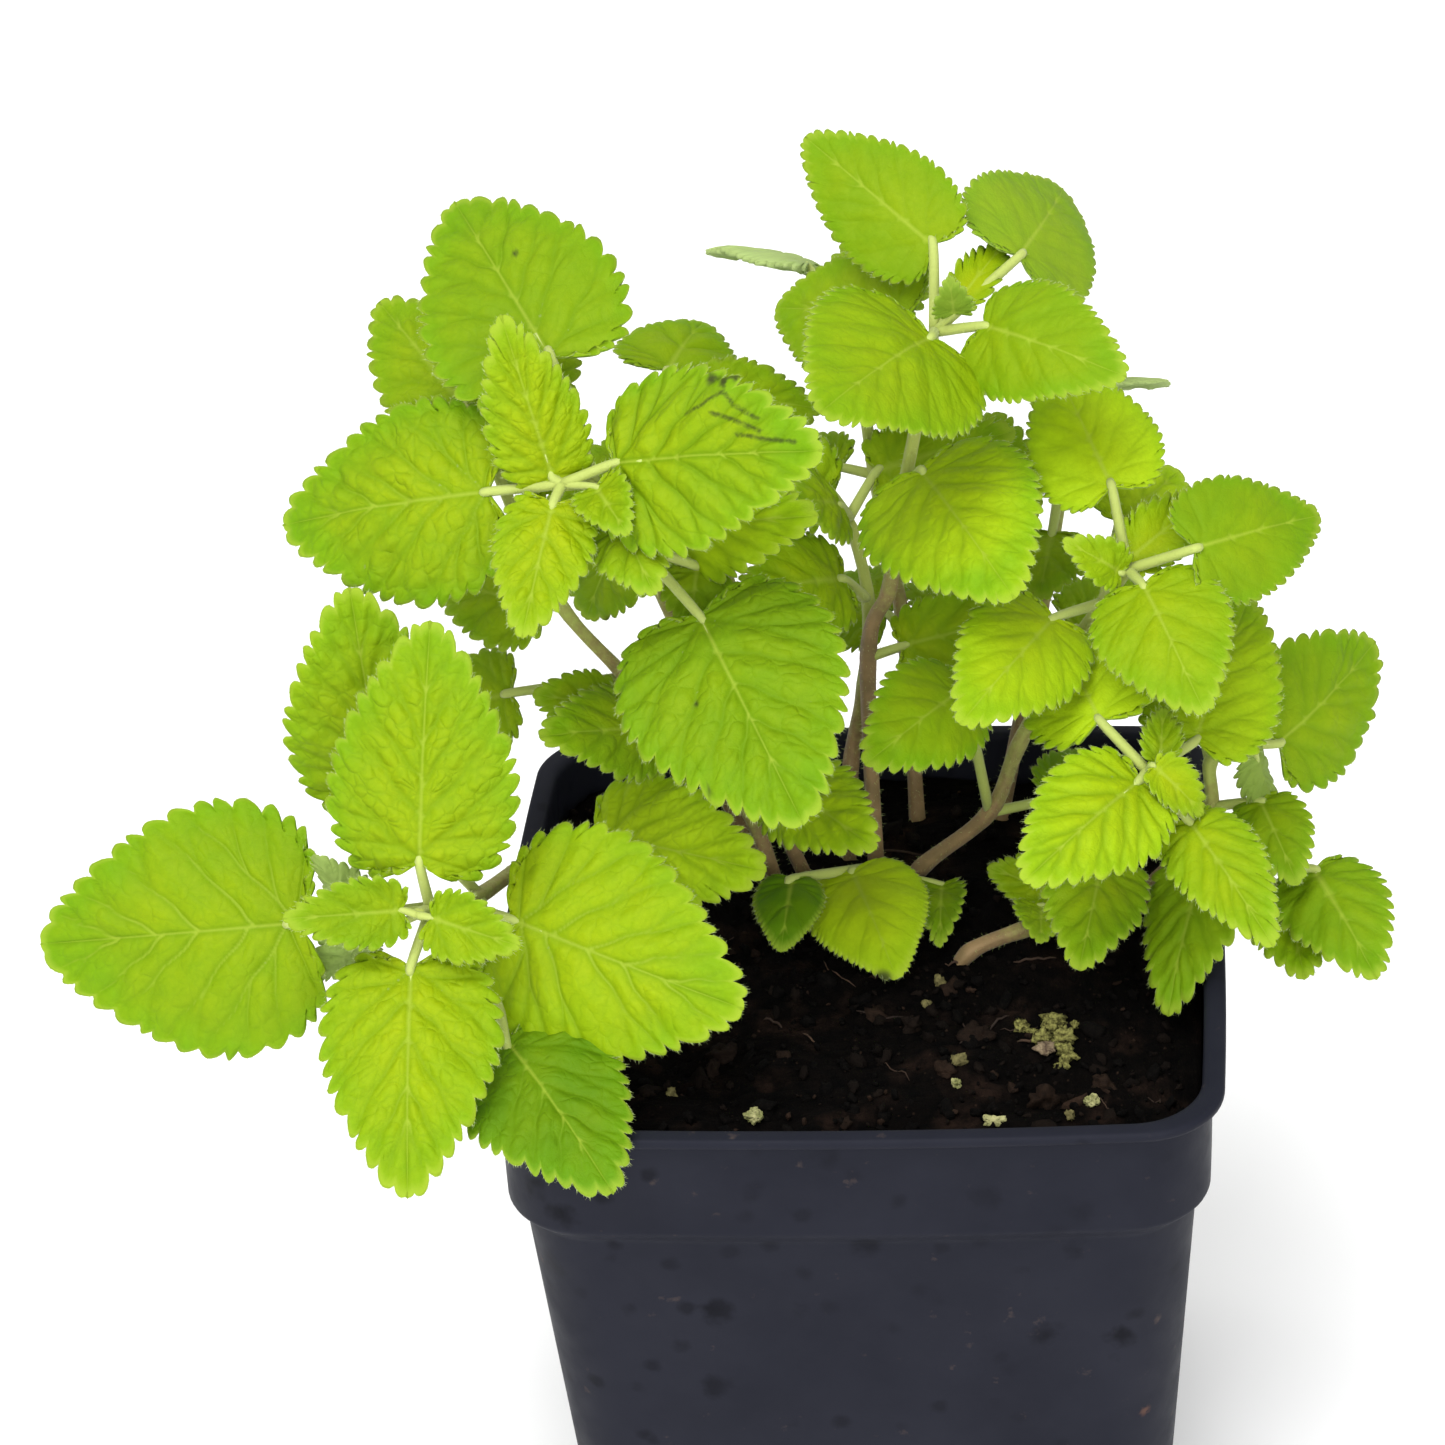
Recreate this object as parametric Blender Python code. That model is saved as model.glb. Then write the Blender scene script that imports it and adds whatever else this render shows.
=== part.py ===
"""Potted catmint in a square nursery pot. Built in millimetres, written in metres, +Z up.

The pot's foot is centred on the origin and rests on z = 0. The front faces -Y.
"""
import math
import random

import bmesh
import bpy
import numpy as np
from mathutils import Vector
from mathutils.bvhtree import BVHTree

MM = 0.001
GAP = 0.3
MERGE = 0.004
SEED = 27

# Pot: half widths and heights of the walls, from the foot up to the rolled lip.
POT_HEIGHT = 89.0
FOOT_HALF = 36.0
BODY_TOP_HALF = 41.1
BAND_HALF = 42.8
LIP_HALF = 44.5
LIP_INNER_HALF = 42.3
BAND_HEIGHT = 15.7
LEDGE_DROP = 2.2
LIP_THICKNESS = 1.4
LIP_ROUND = 0.4
LIP_FILLET = 0.6
LEDGE_WALL_RISE = 0.6
WALL = 1.0
FLOOR = 1.2
FOOT_BEVEL = 0.8
CORNER_RADIUS = 10.0
CORNER_STEPS = 4
SIDE_STEPS = 3
SIDE_BOW = 0.8
DRAIN_RADIUS = 3.4
DRAIN_OFFSET = 23.0
DRAIN_SIDES = 12
CUT_SPARE = 1.0

# Soil: its surface lies a little below the lip and rolls by a sum of waves.
SOIL_LEVEL = 82.8
SOIL_RINGS = (1.0, 0.9, 0.76, 0.62, 0.47, 0.32, 0.16)
SOIL_WAVES = ((0.31, 0.12, 0.4, 0.30), (-0.14, 0.27, 1.9, 0.28), (0.22, -0.33, 3.1, 0.22))
HOLE_CLEARANCE = 0.4
HOLE_TOP = 86.0
HOLE_SIDES = 8

# Plant: thickness of the blades and shape of their edge and surface.
BLADE_THICKNESS = 0.7
LOBE = 0.10
LOBE_PLACE = 0.45
EDGE_POWER = 0.9
EDGE_SKEW = 0.52
EDGE_PEAK = 1.115
EDGE_SAMPLES = 240
ARCH = 0.06
CUP = 0.09
YOUNG_CUP = 0.16
WAVE = 0.02
WAVE_TURN = 7.0
PHASE_STEP = 2.4
TOOTH_DEPTH = 0.9
TOOTH_FADE = 4.0
TOOTH_FULL_LENGTH = 18.0
TOOTH_PITCH = 5.8
MIN_TEETH = 3
YOUNG_WIDTH = 9.0
MIDRIB_PLACES = (0.14, 0.36, 0.6, 0.82)
SHORT_MIDRIB_PLACES = (0.2, 0.6)
SHORT_LENGTH = 18.0
STEM_RADIUS = 1.0
STEM_TIP_RADIUS = 0.7
STEM_SIDES = 5
PETIOLE_RADIUS = 0.62
YOUNG_PETIOLE_RADIUS = 0.46
PETIOLE_END_RADIUS = 0.31
PETIOLE_SIDES = 4
PETIOLE_REACH = 0.09
SPAN_STEPS = 2
RING_START = (0.31, 0.95, 0.05)

# Loose bits on the soil: name, place across, place along, size.
PERLITE = (
    ("perlite_front_left", -12.3, -33.4, 3.2),
    ("perlite_front", 17.0, -34.6, 3.4),
    ("perlite_small", 12.2, -26.6, 1.9),
    ("perlite_right", 28.6, -31.0, 2.8),
    ("perlite_rear", -24.0, 29.0, 2.6),
)
BARK = (
    ("bark_front", 23.0, -19.5, 4.2),
    ("bark_left", -29.0, 26.0, 4.0),
    ("bark_rear", 33.0, 30.0, 4.4),
)

LUMP_POINTS = 14
LUMP_NARROWNESS = 0.8
LUMP_ROUGHNESS = 0.8
PERLITE_FLATNESS = 0.75
BARK_FLATNESS = 0.35

# Each stem is a run of points from its root up, in millimetres.
# "face" is the direction its leaves look: heading and rise in degrees.
# A leaf is: name, stem point, petiole (heading, rise, length),
# blade (heading, rise, length), width, roll.
# Headings turn from +X toward +Y, so 180 is left and -90 is the front.
SHOOTS = {
    "front_left": {
        "stem": [(-20, 9, 79), (-27, 9, 91), (-37, 5, 98), (-46, -12, 102),
                 (-48, -18, 105), (-50, -25, 109), (-51, -29, 111)],
        "face": (-88, 33),
        "leaves": [
            ("small_left", 6, (180, 20, 2), (190, 3, 14), 8.5, 0),
            ("small_right", 6, (-20, 0, 2), (-8, -17, 11), 8.5, 0),
            ("top", 5, (-118, 81, 7.5), (79, 65, 29), 22.5, 0),
            ("bottom", 5, (-105, -24, 8), (-89, -40, 28), 21.5, 0),
            ("left", 4, (-166, 2, 19.4), (172, -10, 34), 31, 0),
            ("right", 4, (-29, 2, 8), (-21, -11, 31), 29, 0),
            ("upper", 3, (168, 51, 17), (115, 76, 27), 22, 0),
            ("lower", 3, (-77, -19, 22), (-56, -16, 26), 20.5, -22),
            ("inner_right", 2, (-14, 24, 4.5), (-28, 5, 25), 18.5, -8),
            ("bud_up", 5, (165, -10, 10), (174, 60, 9), 6, 150),
            ("bud_down", 5, (163, -33, 11), (185, -40, 9), 7, 150),
        ],
    },
    "back_left": {
        "stem": [(-6, 16, 79), (-12, 14, 98), (-20, 8, 124), (-25, 4, 142), (-29, 2, 151), (-33, 0, 153)],
        "face": (-88, 40),
        "leaves": [
            ("small_up", 5, (180, 45, 1.5), (150, 75, 21), 12, 0),
            ("small_down", 5, (-105, -15, 3.5), (-104, -38, 17), 12, 0),
            ("left", 5, (180, -5, 9), (164, -17, 29), 25, 0),
            ("right", 5, (0, 23, 7), (-24, 15, 29), 22.5, 0),
            ("back", 4, (141, 69, 17), (118, 16, 30), 25, 0),
            ("young_right", 5, (-20, 5, 4.5), (-60, -15, 9), 7, 0),
            ("young_front", 4, (-50, -30, 5), (-66, -20, 12), 10, 0),
            ("lower_right", 3, (-44, -28, 12), (-62, -27, 31), 28, 0),
            ("lower_left", 3, (140, 10, 3), (152, -66, 15), 12, 0),
            ("inner_right", 3, (72, -18, 9), (-23, 17, 22), 14, 0),
            ("inner_dark", 3, (25, -35, 9), (-96, -41, 8), 9, 0),
        ],
    },
    "mid_left": {
        "stem": [(-10, 12, 79), (-13, 11, 94), (-17, 10, 104), (-23, 7, 113)],
        "face": (-90, 50),
        "leaves": [
            ("left", 3, (180, 18, 2), (-140, 20, 18), 13, 0),
            ("back", 3, (175, 25, 8), (178, 12, 10), 9, 0),
            ("right", 2, (-21, 7, 8), (-52, 2, 20), 13, 0),
        ],
    },
    "far_left": {
        "stem": [(-12, 21, 79), (-20, 17, 101), (-29, 14, 117), (-36, 13, 128), (-41, 15, 140), (-45, 17, 152)],
        "face": (-90, 42),
        "leaves": [
            ("tip", 5, (150, 50, 3), (124, 13, 22), 15.5, 0),
            ("tip_back", 5, (40, 30, 3), (60, 15, 18), 14, 0),
            ("dark", 4, (60, 40, 4), (60, 50, 10), 8, 0),
            ("low", 3, (180, 10, 3), (147, -7, 17), 13, 0),
            ("mid", 2, (180, -8, 15), (153, -29, 15), 13, 0),
        ],
    },
    "centre": {
        "stem": [(-3, 22, 79), (-2, 25, 96), (0, 28, 106), (1, 30, 118), (-1, 32, 129)],
        "face": (-88, 45),
        "leaves": [
            ("front", 3, (-120, 48, 8), (-140, 15, 17), 14, 0),
            ("top_left", 4, (-150, 61, 6), (-170, 24, 21), 14, 0),
            ("top_front", 4, (-100, 45, 6), (-118, 30, 13), 11, 0),
            ("top_right", 4, (40, 45, 7), (12, 10, 18), 12, 0),
            ("back", 3, (140, 0, 6), (150, -20, 11), 10, 0),
        ],
    },
    "tall": {
        "stem": [(1, 19, 79), (1, 24, 113), (4, 26, 122), (6, 27, 134), (9, 26, 149), (11, 25, 159)],
        "face": (-88, 42),
        "leaves": [
            ("top_left", 5, (92, 54, 10.8), (137, 20, 22.8), 15.5, -10),
            ("top_right", 5, (38, 24, 14.5), (76, -4, 22), 20, 22),
            ("young", 5, (35, 39, 4.5), (61, 12, 13), 5.5, 0),
            ("bud", 5, (-21, 48, 4), (-104, 75, 6), 5, 0),
            ("right", 5, (-30, 20, 7.5), (-39, 0, 22), 16, 0),
            ("front", 5, (-91, 23, 5.5), (-119, 5, 26), 24, 0),
            ("left", 4, (114, 62, 10), (141, -13, 22), 19.5, 0),
            ("lower_front", 3, (-66, 50, 10.5), (-64, -9, 27), 23, 0),
            ("lower_right", 1, (0, 20, 5), (10, 8, 18), 11, 0),
        ],
    },
    "right": {
        "stem": [(3, 16, 79), (7, 16, 86), (16, 15, 95), (20, 17, 104),
                 (26, 18, 116), (31, 15, 126), (34, 11, 133)],
        "face": (-88, 40),
        "leaves": [
            ("top", 6, (115, 66, 10.5), (110, 18, 21), 16.5, 0),
            ("right", 6, (-20, 28, 10), (39, -9, 20), 16, 0),
            ("front", 6, (-70, 8, 5.5), (-68, -22, 20), 17, 0),
            ("small_left", 6, (-115, 19, 2), (-169, 38, 9), 6, 0),
            ("small_right", 6, (60, 60, 1.5), (42, 15, 14), 8, 0),
            ("lower_left", 5, (-131, 13, 9.5), (-120, -7, 22.5), 16, 0),
            ("lower_back", 5, (80, 16, 14), (57, 1, 14), 13, 0),
            ("inner_left", 2, (-132, 79, 21), (-128, -4, 19), 14.5, 0),
            ("inner_right", 2, (18, 2, 9), (58, -10, 14), 11, 0),
        ],
    },
    "front_right": {
        "stem": [(11, 0, 79), (13.3, 0.9, 83.2), (20, 3.5, 84.7), (28, 6, 85.4), (32, 2, 96), (36, -8, 116)],
        "face": (-85, 50),
        "leaves": [
            ("front_left", 5, (-120, -1, 2), (-131, -10, 21.5), 16, 0),
            ("front_right", 5, (-23, -48, 8), (-62, -17, 21), 11.5, 0),
            ("back_left", 5, (134, 25, 9), (107, 7, 17), 17, -15),
            ("back_right", 5, (49, 1, 9), (72, 16, 24), 17, 0),
            ("small_up", 5, (0, 41, 2), (86, 23, 8), 5, 0),
            ("shaded", 4, (-120, 35, 4), (-100, -14, 18), 13, 0),
            ("low_front", 3, (-170, 20, 6), (-90, 3, 9), 7, 0),
            ("low_back", 3, (150, 20, 5), (160, 12, 9), 7, 0),
            ("small_yellow", 5, (-67, 41, 3), (-1, -51, 9), 6, 0),
        ],
    },
    "far_right": {
        "stem": [(33, 16, 79), (41, 12, 91), (44, 11, 98), (44, 12, 104), (47, 13, 106)],
        "face": (-84, 40),
        "leaves": [
            ("tip", 4, (13, -6, 6), (56, 7, 23), 18.5, 22),
            ("grey", 4, (-58, 10, 4), (0, -69, 10), 6, 150),
            ("low", 2, (-22, 20, 7), (-73, -14, 14.5), 10, 0),
            ("back", 3, (100, 20, 6), (95, 5, 18), 15, 0),
        ],
    },
    "low_right": {
        "stem": [(29, 9, 79), (37, 4, 90), (42, 2, 95), (49, 2, 95)],
        "face": (-85, 50),
        "leaves": [
            ("drooping", 2, (-65, 50, 5), (-109, -39, 21), 13.5, 28),
            ("outer", 3, (0, -4, 7.5), (-68, -14, 19), 14, 0),
            ("under", 3, (30, -50, 7), (-83, -8, 16), 12, 0),
        ],
    },
    "low_centre": {
        "stem": [(1, 10, 79), (0, 13, 88)],
        "face": (-88, 60),
        "leaves": [
            ("yellow", 1, (-120, 25, 3.5), (-72, -10, 20), 16, 0),
            ("dark", 1, (-141, 17, 12), (-95, -15, 12), 9, 0),
            ("narrow", 1, (0, -15, 10), (-90, -3, 13), 6, 0),
        ],
    },
    "rear_left": {
        "stem": [(-8, 29, 79), (-14, 34, 105), (-20, 37, 128), (-24, 38, 143)],
        "face": (-90, 50),
        "leaves": [
            ("top", 3, (85, 40, 4.5), (75, -3, 14), 16.5, 0),
            ("right", 3, (0, 5, 5), (20, -18, 16), 12, 0),
            ("left", 2, (150, 10, 6), (160, -5, 18), 14, 0),
            ("back", 2, (90, 10, 6), (105, -10, 19), 15, 0),
            ("low", 1, (140, 0, 5), (150, -20, 17), 13, 0),
        ],
    },
    "rear_centre": {
        "stem": [(6, 32, 79), (5, 38, 108), (2, 41, 130), (0, 43, 150)],
        "face": (-90, 50),
        "leaves": [
            ("left", 3, (124, 24, 11.5), (150, -6, 15.5), 11, 66),
            ("back", 3, (70, 15, 5), (80, 5, 18), 14, 0),
            ("low_right", 1, (20, 20, 6), (76, 0, 15), 12, 0),
            ("low_left", 2, (160, 5, 5), (140, -15, 12), 10, 0),
            ("lowest", 1, (120, 5, 5), (130, -15, 17), 13, 0),
        ],
    },
    "rear_right": {
        "stem": [(16, 30, 79), (22, 38, 106), (26, 43, 128), (27, 45, 138)],
        "face": (-90, 50),
        "leaves": [
            ("edge", 3, (30, 10, 4), (36, -18, 12), 10, -72),
            ("front", 2, (-141, -4, 14), (81, 20, 18), 15, 0),
            ("back", 3, (95, 10, 5), (95, 0, 17), 14, 0),
            ("low", 1, (30, 5, 6), (35, -10, 18), 14, 0),
            ("low_back", 1, (120, 5, 6), (110, -15, 17), 13, 0),
            ("shaded", 2, (-103, -35, 8), (-97, -10, 13), 11, 0),
        ],
    },
}


def clear_scene():
    for thing in list(bpy.data.objects):
        bpy.data.objects.remove(thing, do_unlink=True)


def make_material(name, colour, roughness):
    material = bpy.data.materials.new(name)
    material.use_nodes = True
    shader = material.node_tree.nodes["Principled BSDF"]
    shader.inputs["Base Color"].default_value = (*colour, 1.0)
    shader.inputs["Roughness"].default_value = roughness
    material.diffuse_color = (*colour, 1.0)
    return material


def pot_material():
    return make_material("pot", (0.032, 0.033, 0.042), 0.5)


def soil_material():
    return make_material("soil", (0.012, 0.009, 0.007), 0.95)


def leaf_material():
    return make_material("foliage", (0.30, 0.46, 0.05), 0.6)


def perlite_material():
    return make_material("perlite", (0.55, 0.53, 0.38), 0.85)


def bark_material():
    return make_material("bark", (0.16, 0.09, 0.05), 0.9)


def add_object(name, points, faces, material):
    mesh = bpy.data.meshes.new(name)
    mesh.from_pydata([[c * MM for c in p] for p in points], [], faces)
    mesh.validate()
    if material is not None:
        mesh.materials.append(material)
    thing = bpy.data.objects.new(name, mesh)
    bpy.context.scene.collection.objects.link(thing)
    return thing


def bake_modifiers(thing):
    """Replace the mesh by its evaluated result and drop the modifiers."""
    graph = bpy.context.evaluated_depsgraph_get()
    result = bpy.data.meshes.new_from_object(thing.evaluated_get(graph))
    thing.modifiers.clear()
    thing.data = result


def is_closed(mesh):
    shape = bmesh.new()
    shape.from_mesh(mesh)
    closed = len(shape.faces) > 0 and all(len(e.link_faces) == 2 for e in shape.edges)
    shape.free()
    return closed


def boolean(thing, collection, operation):
    """Join or cut by a collection, then remove the collection's objects."""
    original = thing.data.copy()
    for solver, merge in (("EXACT", MERGE), ("EXACT", 0.0), ("MANIFOLD", 0.0)):
        thing.data = original.copy()
        modifier = thing.modifiers.new("boolean", "BOOLEAN")
        modifier.operation = operation
        modifier.operand_type = "COLLECTION"
        modifier.collection = collection
        modifier.solver = solver
        bake_modifiers(thing)
        tidy(thing.data, merge)
        if is_closed(thing.data) and len(thing.data.vertices) != len(original.vertices):
            break
    for operand in list(collection.objects):
        bpy.data.objects.remove(operand, do_unlink=True)
    bpy.data.collections.remove(collection)


def tidy(mesh, merge):
    """Merge points that nearly coincide and split the faces into triangles."""
    shape = bmesh.new()
    shape.from_mesh(mesh)
    if merge > 0.0:
        bmesh.ops.remove_doubles(shape, verts=shape.verts, dist=merge * MM)
        bmesh.ops.dissolve_degenerate(shape, edges=shape.edges, dist=merge * MM)
    bmesh.ops.triangulate(shape, faces=shape.faces)
    drop_scraps(shape)
    shape.to_mesh(mesh)
    shape.free()


def drop_scraps(shape):
    """Keep the largest connected piece, so sealed pockets are filled."""
    pieces = []
    seen = set()
    for start in shape.verts:
        if start in seen:
            continue
        seen.add(start)
        piece = [start]
        for vertex in piece:
            for edge in vertex.link_edges:
                other = edge.other_vert(vertex)
                if other not in seen:
                    seen.add(other)
                    piece.append(other)
        pieces.append(piece)
    pieces.sort(key=len)
    for piece in pieces[:-1]:
        bmesh.ops.delete(shape, geom=piece, context="VERTS")


def new_collection(name):
    collection = bpy.data.collections.new(name)
    bpy.context.scene.collection.children.link(collection)
    return collection


def move_to(thing, collection):
    for owner in list(thing.users_collection):
        owner.objects.unlink(thing)
    collection.objects.link(thing)
    thing.hide_render = True
    thing.display_type = "WIRE"


def shade_smooth(thing):
    thing.data.polygons.foreach_set("use_smooth", [True] * len(thing.data.polygons))


def square_loop(half, z, inset=0.0):
    """A rounded square with slightly bowed sides, counter-clockwise from above."""
    radius = CORNER_RADIUS - inset
    centre = half - radius
    loop = []
    for quarter in range(4):
        turn = math.radians(90.0 * quarter)
        cos_turn = math.cos(turn)
        sin_turn = math.sin(turn)
        local = []
        for step in range(CORNER_STEPS + 1):
            angle = math.radians(90.0 * step / CORNER_STEPS)
            local.append((centre + radius * math.cos(angle), centre + radius * math.sin(angle)))
        for step in range(1, SIDE_STEPS):
            share = step / SIDE_STEPS
            bow = SIDE_BOW * 4.0 * share * (1.0 - share)
            local.append((centre - 2.0 * centre * share, half + bow))
        for x, y in local:
            loop.append((x * cos_turn - y * sin_turn, x * sin_turn + y * cos_turn, z))
    return loop


def loft(loops):
    """Skin rings of equal count and close both ends."""
    count = len(loops[0])
    points = [p for loop in loops for p in loop]
    faces = []
    for ring in range(len(loops) - 1):
        low = ring * count
        high = low + count
        for i in range(count):
            j = (i + 1) % count
            faces.append((low + i, low + j, high + j, high + i))
    faces.append(tuple(reversed(range(count))))
    faces.append(tuple(range(len(points) - count, len(points))))
    return points, faces


def body_half(z):
    """Outer half width of the tapered body at a height."""
    top = POT_HEIGHT - BAND_HEIGHT - LEDGE_DROP
    return FOOT_HALF + (BODY_TOP_HALF - FOOT_HALF) * min(z / top, 1.0)


def pot_loops():
    band_low = POT_HEIGHT - BAND_HEIGHT
    ledge_low = band_low - LEDGE_DROP
    lip_low = POT_HEIGHT - LIP_THICKNESS
    ledge_mid = 0.5 * (band_low + ledge_low)
    half_mid = 0.5 * (BODY_TOP_HALF + BAND_HALF)
    outer = [
        (FOOT_HALF - FOOT_BEVEL, 0.0, 0.0),
        (FOOT_HALF, FOOT_BEVEL, 0.0),
        (BODY_TOP_HALF, ledge_low, 0.0),
        (half_mid, ledge_mid, 0.0),
        (BAND_HALF, band_low, 0.0),
        (BAND_HALF, lip_low - LIP_FILLET, 0.0),
        (BAND_HALF + LIP_FILLET, lip_low, 0.0),
        (LIP_HALF - LIP_ROUND, lip_low, 0.0),
        (LIP_HALF, lip_low + LIP_ROUND, 0.0),
        (LIP_HALF, POT_HEIGHT - LIP_ROUND, 0.0),
        (LIP_HALF - LIP_ROUND, POT_HEIGHT, 0.0),
    ]
    inner = [
        (LIP_INNER_HALF, POT_HEIGHT, WALL),
        (BAND_HALF - WALL, POT_HEIGHT - LIP_FILLET, WALL),
        (BAND_HALF - WALL, band_low + LEDGE_WALL_RISE, WALL),
        (half_mid - WALL, ledge_mid + LEDGE_WALL_RISE, WALL),
        (BODY_TOP_HALF - WALL, ledge_low + LEDGE_WALL_RISE, WALL),
        (body_half(FLOOR) - WALL, FLOOR, WALL),
    ]
    return [square_loop(half, z, inset) for half, z, inset in outer + inner]


def make_pot():
    points, faces = loft(pot_loops())
    pot = add_object("pot", points, faces, pot_material())
    drains = new_collection("drains")
    for x_sign, y_sign in ((1, 1), (-1, 1), (-1, -1), (1, -1)):
        ring = []
        for i in range(DRAIN_SIDES):
            angle = math.tau * i / DRAIN_SIDES
            ring.append((DRAIN_OFFSET * x_sign + DRAIN_RADIUS * math.cos(angle),
                         DRAIN_OFFSET * y_sign + DRAIN_RADIUS * math.sin(angle)))
        cutter_points, cutter_faces = loft([[(x, y, z) for x, y in ring] for z in (-CUT_SPARE, FLOOR + CUT_SPARE)])
        move_to(add_object("drain_cutter", cutter_points, cutter_faces, None), drains)
    boolean(pot, drains, "DIFFERENCE")
    shade_smooth(pot)
    return pot


def soil_height(x, y):
    """Height of the soil surface at a place."""
    height = SOIL_LEVEL
    for wave_x, wave_y, phase, size in SOIL_WAVES:
        height += size * math.sin(wave_x * x + wave_y * y + phase)
    return height


def soil_loops():
    band_low = POT_HEIGHT - BAND_HEIGHT
    ledge_low = band_low - LEDGE_DROP
    ledge_mid = 0.5 * (band_low + ledge_low)
    half_mid = 0.5 * (BODY_TOP_HALF + BAND_HALF)
    inset = WALL + GAP
    floor = FLOOR + GAP
    rise = LEDGE_WALL_RISE + GAP
    walls = [
        (body_half(floor) - inset, floor),
        (BODY_TOP_HALF - inset, ledge_low + rise),
        (half_mid - inset, ledge_mid + rise),
        (BAND_HALF - inset, band_low + rise),
    ]
    loops = [square_loop(half, z, inset) for half, z in walls]
    for share in SOIL_RINGS:
        edge = square_loop(BAND_HALF - inset, 0.0, inset)
        ring = []
        for x, y, _ in edge:
            ring.append((x * share, y * share, soil_height(x * share, y * share)))
        loops.append(ring)
    return loops


def make_soil(stem_curves):
    points, faces = loft(soil_loops())
    faces.pop()
    count = len(soil_loops()[0])
    centre = len(points)
    points.append((0.0, 0.0, soil_height(0.0, 0.0)))
    first = centre - count
    for i in range(count):
        faces.append((first + i, first + (i + 1) % count, centre))
    soil = add_object("soil", points, faces, soil_material())
    holes = new_collection("stem_holes")
    for name, curve in stem_curves.items():
        path = [p for p in curve if p[2] < HOLE_TOP]
        onward = unit(curve[len(path)] - path[-1])
        path.append(path[-1] + onward * ((HOLE_TOP - path[-1][2]) / onward[2]))
        path[0] = path[0] - unit(path[1] - path[0]) * GAP
        radii = [STEM_RADIUS + HOLE_CLEARANCE] * len(path)
        hole_points, hole_faces = tube(path, radii, HOLE_SIDES)
        move_to(add_object("hole_" + name, hole_points, hole_faces, None), holes)
    boolean(soil, holes, "DIFFERENCE")
    return soil


def unit(vector):
    return vector / np.linalg.norm(vector)


def towards(heading, rise):
    h = math.radians(heading)
    r = math.radians(rise)
    return np.array([math.cos(h) * math.cos(r), math.sin(h) * math.cos(r), math.sin(r)])


def smooth_curve(points, steps):
    """A curve through all the points, with even steps in each span."""
    points = [np.array(p, float) for p in points]
    padded = [2 * points[0] - points[1]] + points + [2 * points[-1] - points[-2]]
    curve = []
    for i in range(len(points) - 1):
        a, b, c, d = padded[i:i + 4]
        for step in range(steps):
            t = step / steps
            curve.append(0.5 * (2 * b + (c - a) * t + (2 * a - 5 * b + 4 * c - d) * t ** 2
                                + (3 * b - a - 3 * c + d) * t ** 3))
    curve.append(points[-1])
    return curve


def tube(path, radii, sides):
    """A closed round tube whose rings turn with the path."""
    path = [np.array(p, float) for p in path]
    tangents = []
    for i in range(len(path)):
        tangents.append(unit(path[min(i + 1, len(path) - 1)] - path[max(i - 1, 0)]))
    across = unit(np.cross(tangents[0], RING_START))
    rings = []
    for centre, tangent, radius in zip(path, tangents, radii):
        across = unit(across - tangent * np.dot(across, tangent))
        other = np.cross(tangent, across)
        ring = []
        for i in range(sides):
            angle = math.tau * i / sides
            ring.append(centre + radius * (math.cos(angle) * across + math.sin(angle) * other))
        rings.append(ring)
    return loft(rings)


def leaf_frame(shoot, stem_point, petiole, blade, roll):
    """Base of the blade and its directions: along, across and out of the upper face."""
    root = np.array(shoot["stem"][stem_point], float)
    base = root + towards(petiole[0], petiole[1]) * petiole[2]
    along = towards(blade[0], blade[1])
    face = towards(*shoot["face"])
    level = unit(face - along * np.dot(face, along))
    side = np.cross(along, level)
    angle = math.radians(roll)
    out = level * math.cos(angle) + side * math.sin(angle)
    return root, base, along, np.cross(along, out), out


def edge_point(phi, length, width):
    """The smooth edge of one half blade: phi runs from the notch to the tip."""
    place = phi / LOBE_PLACE
    along = 0.5 * length * (1.0 - math.cos(phi)) - LOBE * length * place * math.exp(0.5 - 0.5 * place ** 2)
    swell = max(math.sin(phi), 0.0) ** EDGE_POWER * (1.0 + EDGE_SKEW * math.cos(phi))
    return np.array([along, 0.5 * width * swell / EDGE_PEAK])


def half_edge(length, width):
    """Toothed edge of one half blade, a valley and a crown for each tooth."""
    fine = [edge_point(math.pi * i / EDGE_SAMPLES, length, width) for i in range(EDGE_SAMPLES + 1)]
    lengths = [0.0]
    for a, b in zip(fine, fine[1:]):
        lengths.append(lengths[-1] + float(np.linalg.norm(b - a)))
    teeth = max(MIN_TEETH, round(lengths[-1] / TOOTH_PITCH))
    places = []
    for i in range(1, 2 * teeth):
        goal = lengths[-1] * i / (2 * teeth)
        k = next(n for n, value in enumerate(lengths) if value >= goal)
        direction = unit(fine[min(k + 1, EDGE_SAMPLES)] - fine[k - 1])
        outward = np.array([-direction[1], direction[0]])
        share = min(1.0, i / TOOTH_FADE) * min(1.0, length / TOOTH_FULL_LENGTH)
        depth = TOOTH_DEPTH * share * (0.5 if i % 2 else -0.5)
        places.append(fine[k] + outward * depth)
    return places


def surface_height(along, across, length, width, phase):
    """How far the blade stands off its flat frame."""
    t = along / length
    w = 2.0 * across / width
    arch = ARCH * length * 4.0 * t * (1.0 - t)
    cup = YOUNG_CUP * width * w * w if width < YOUNG_WIDTH else -CUP * width * w * w
    wave = WAVE * width * w * math.sin(WAVE_TURN * t + phase + w)
    return arch + cup + wave


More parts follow.
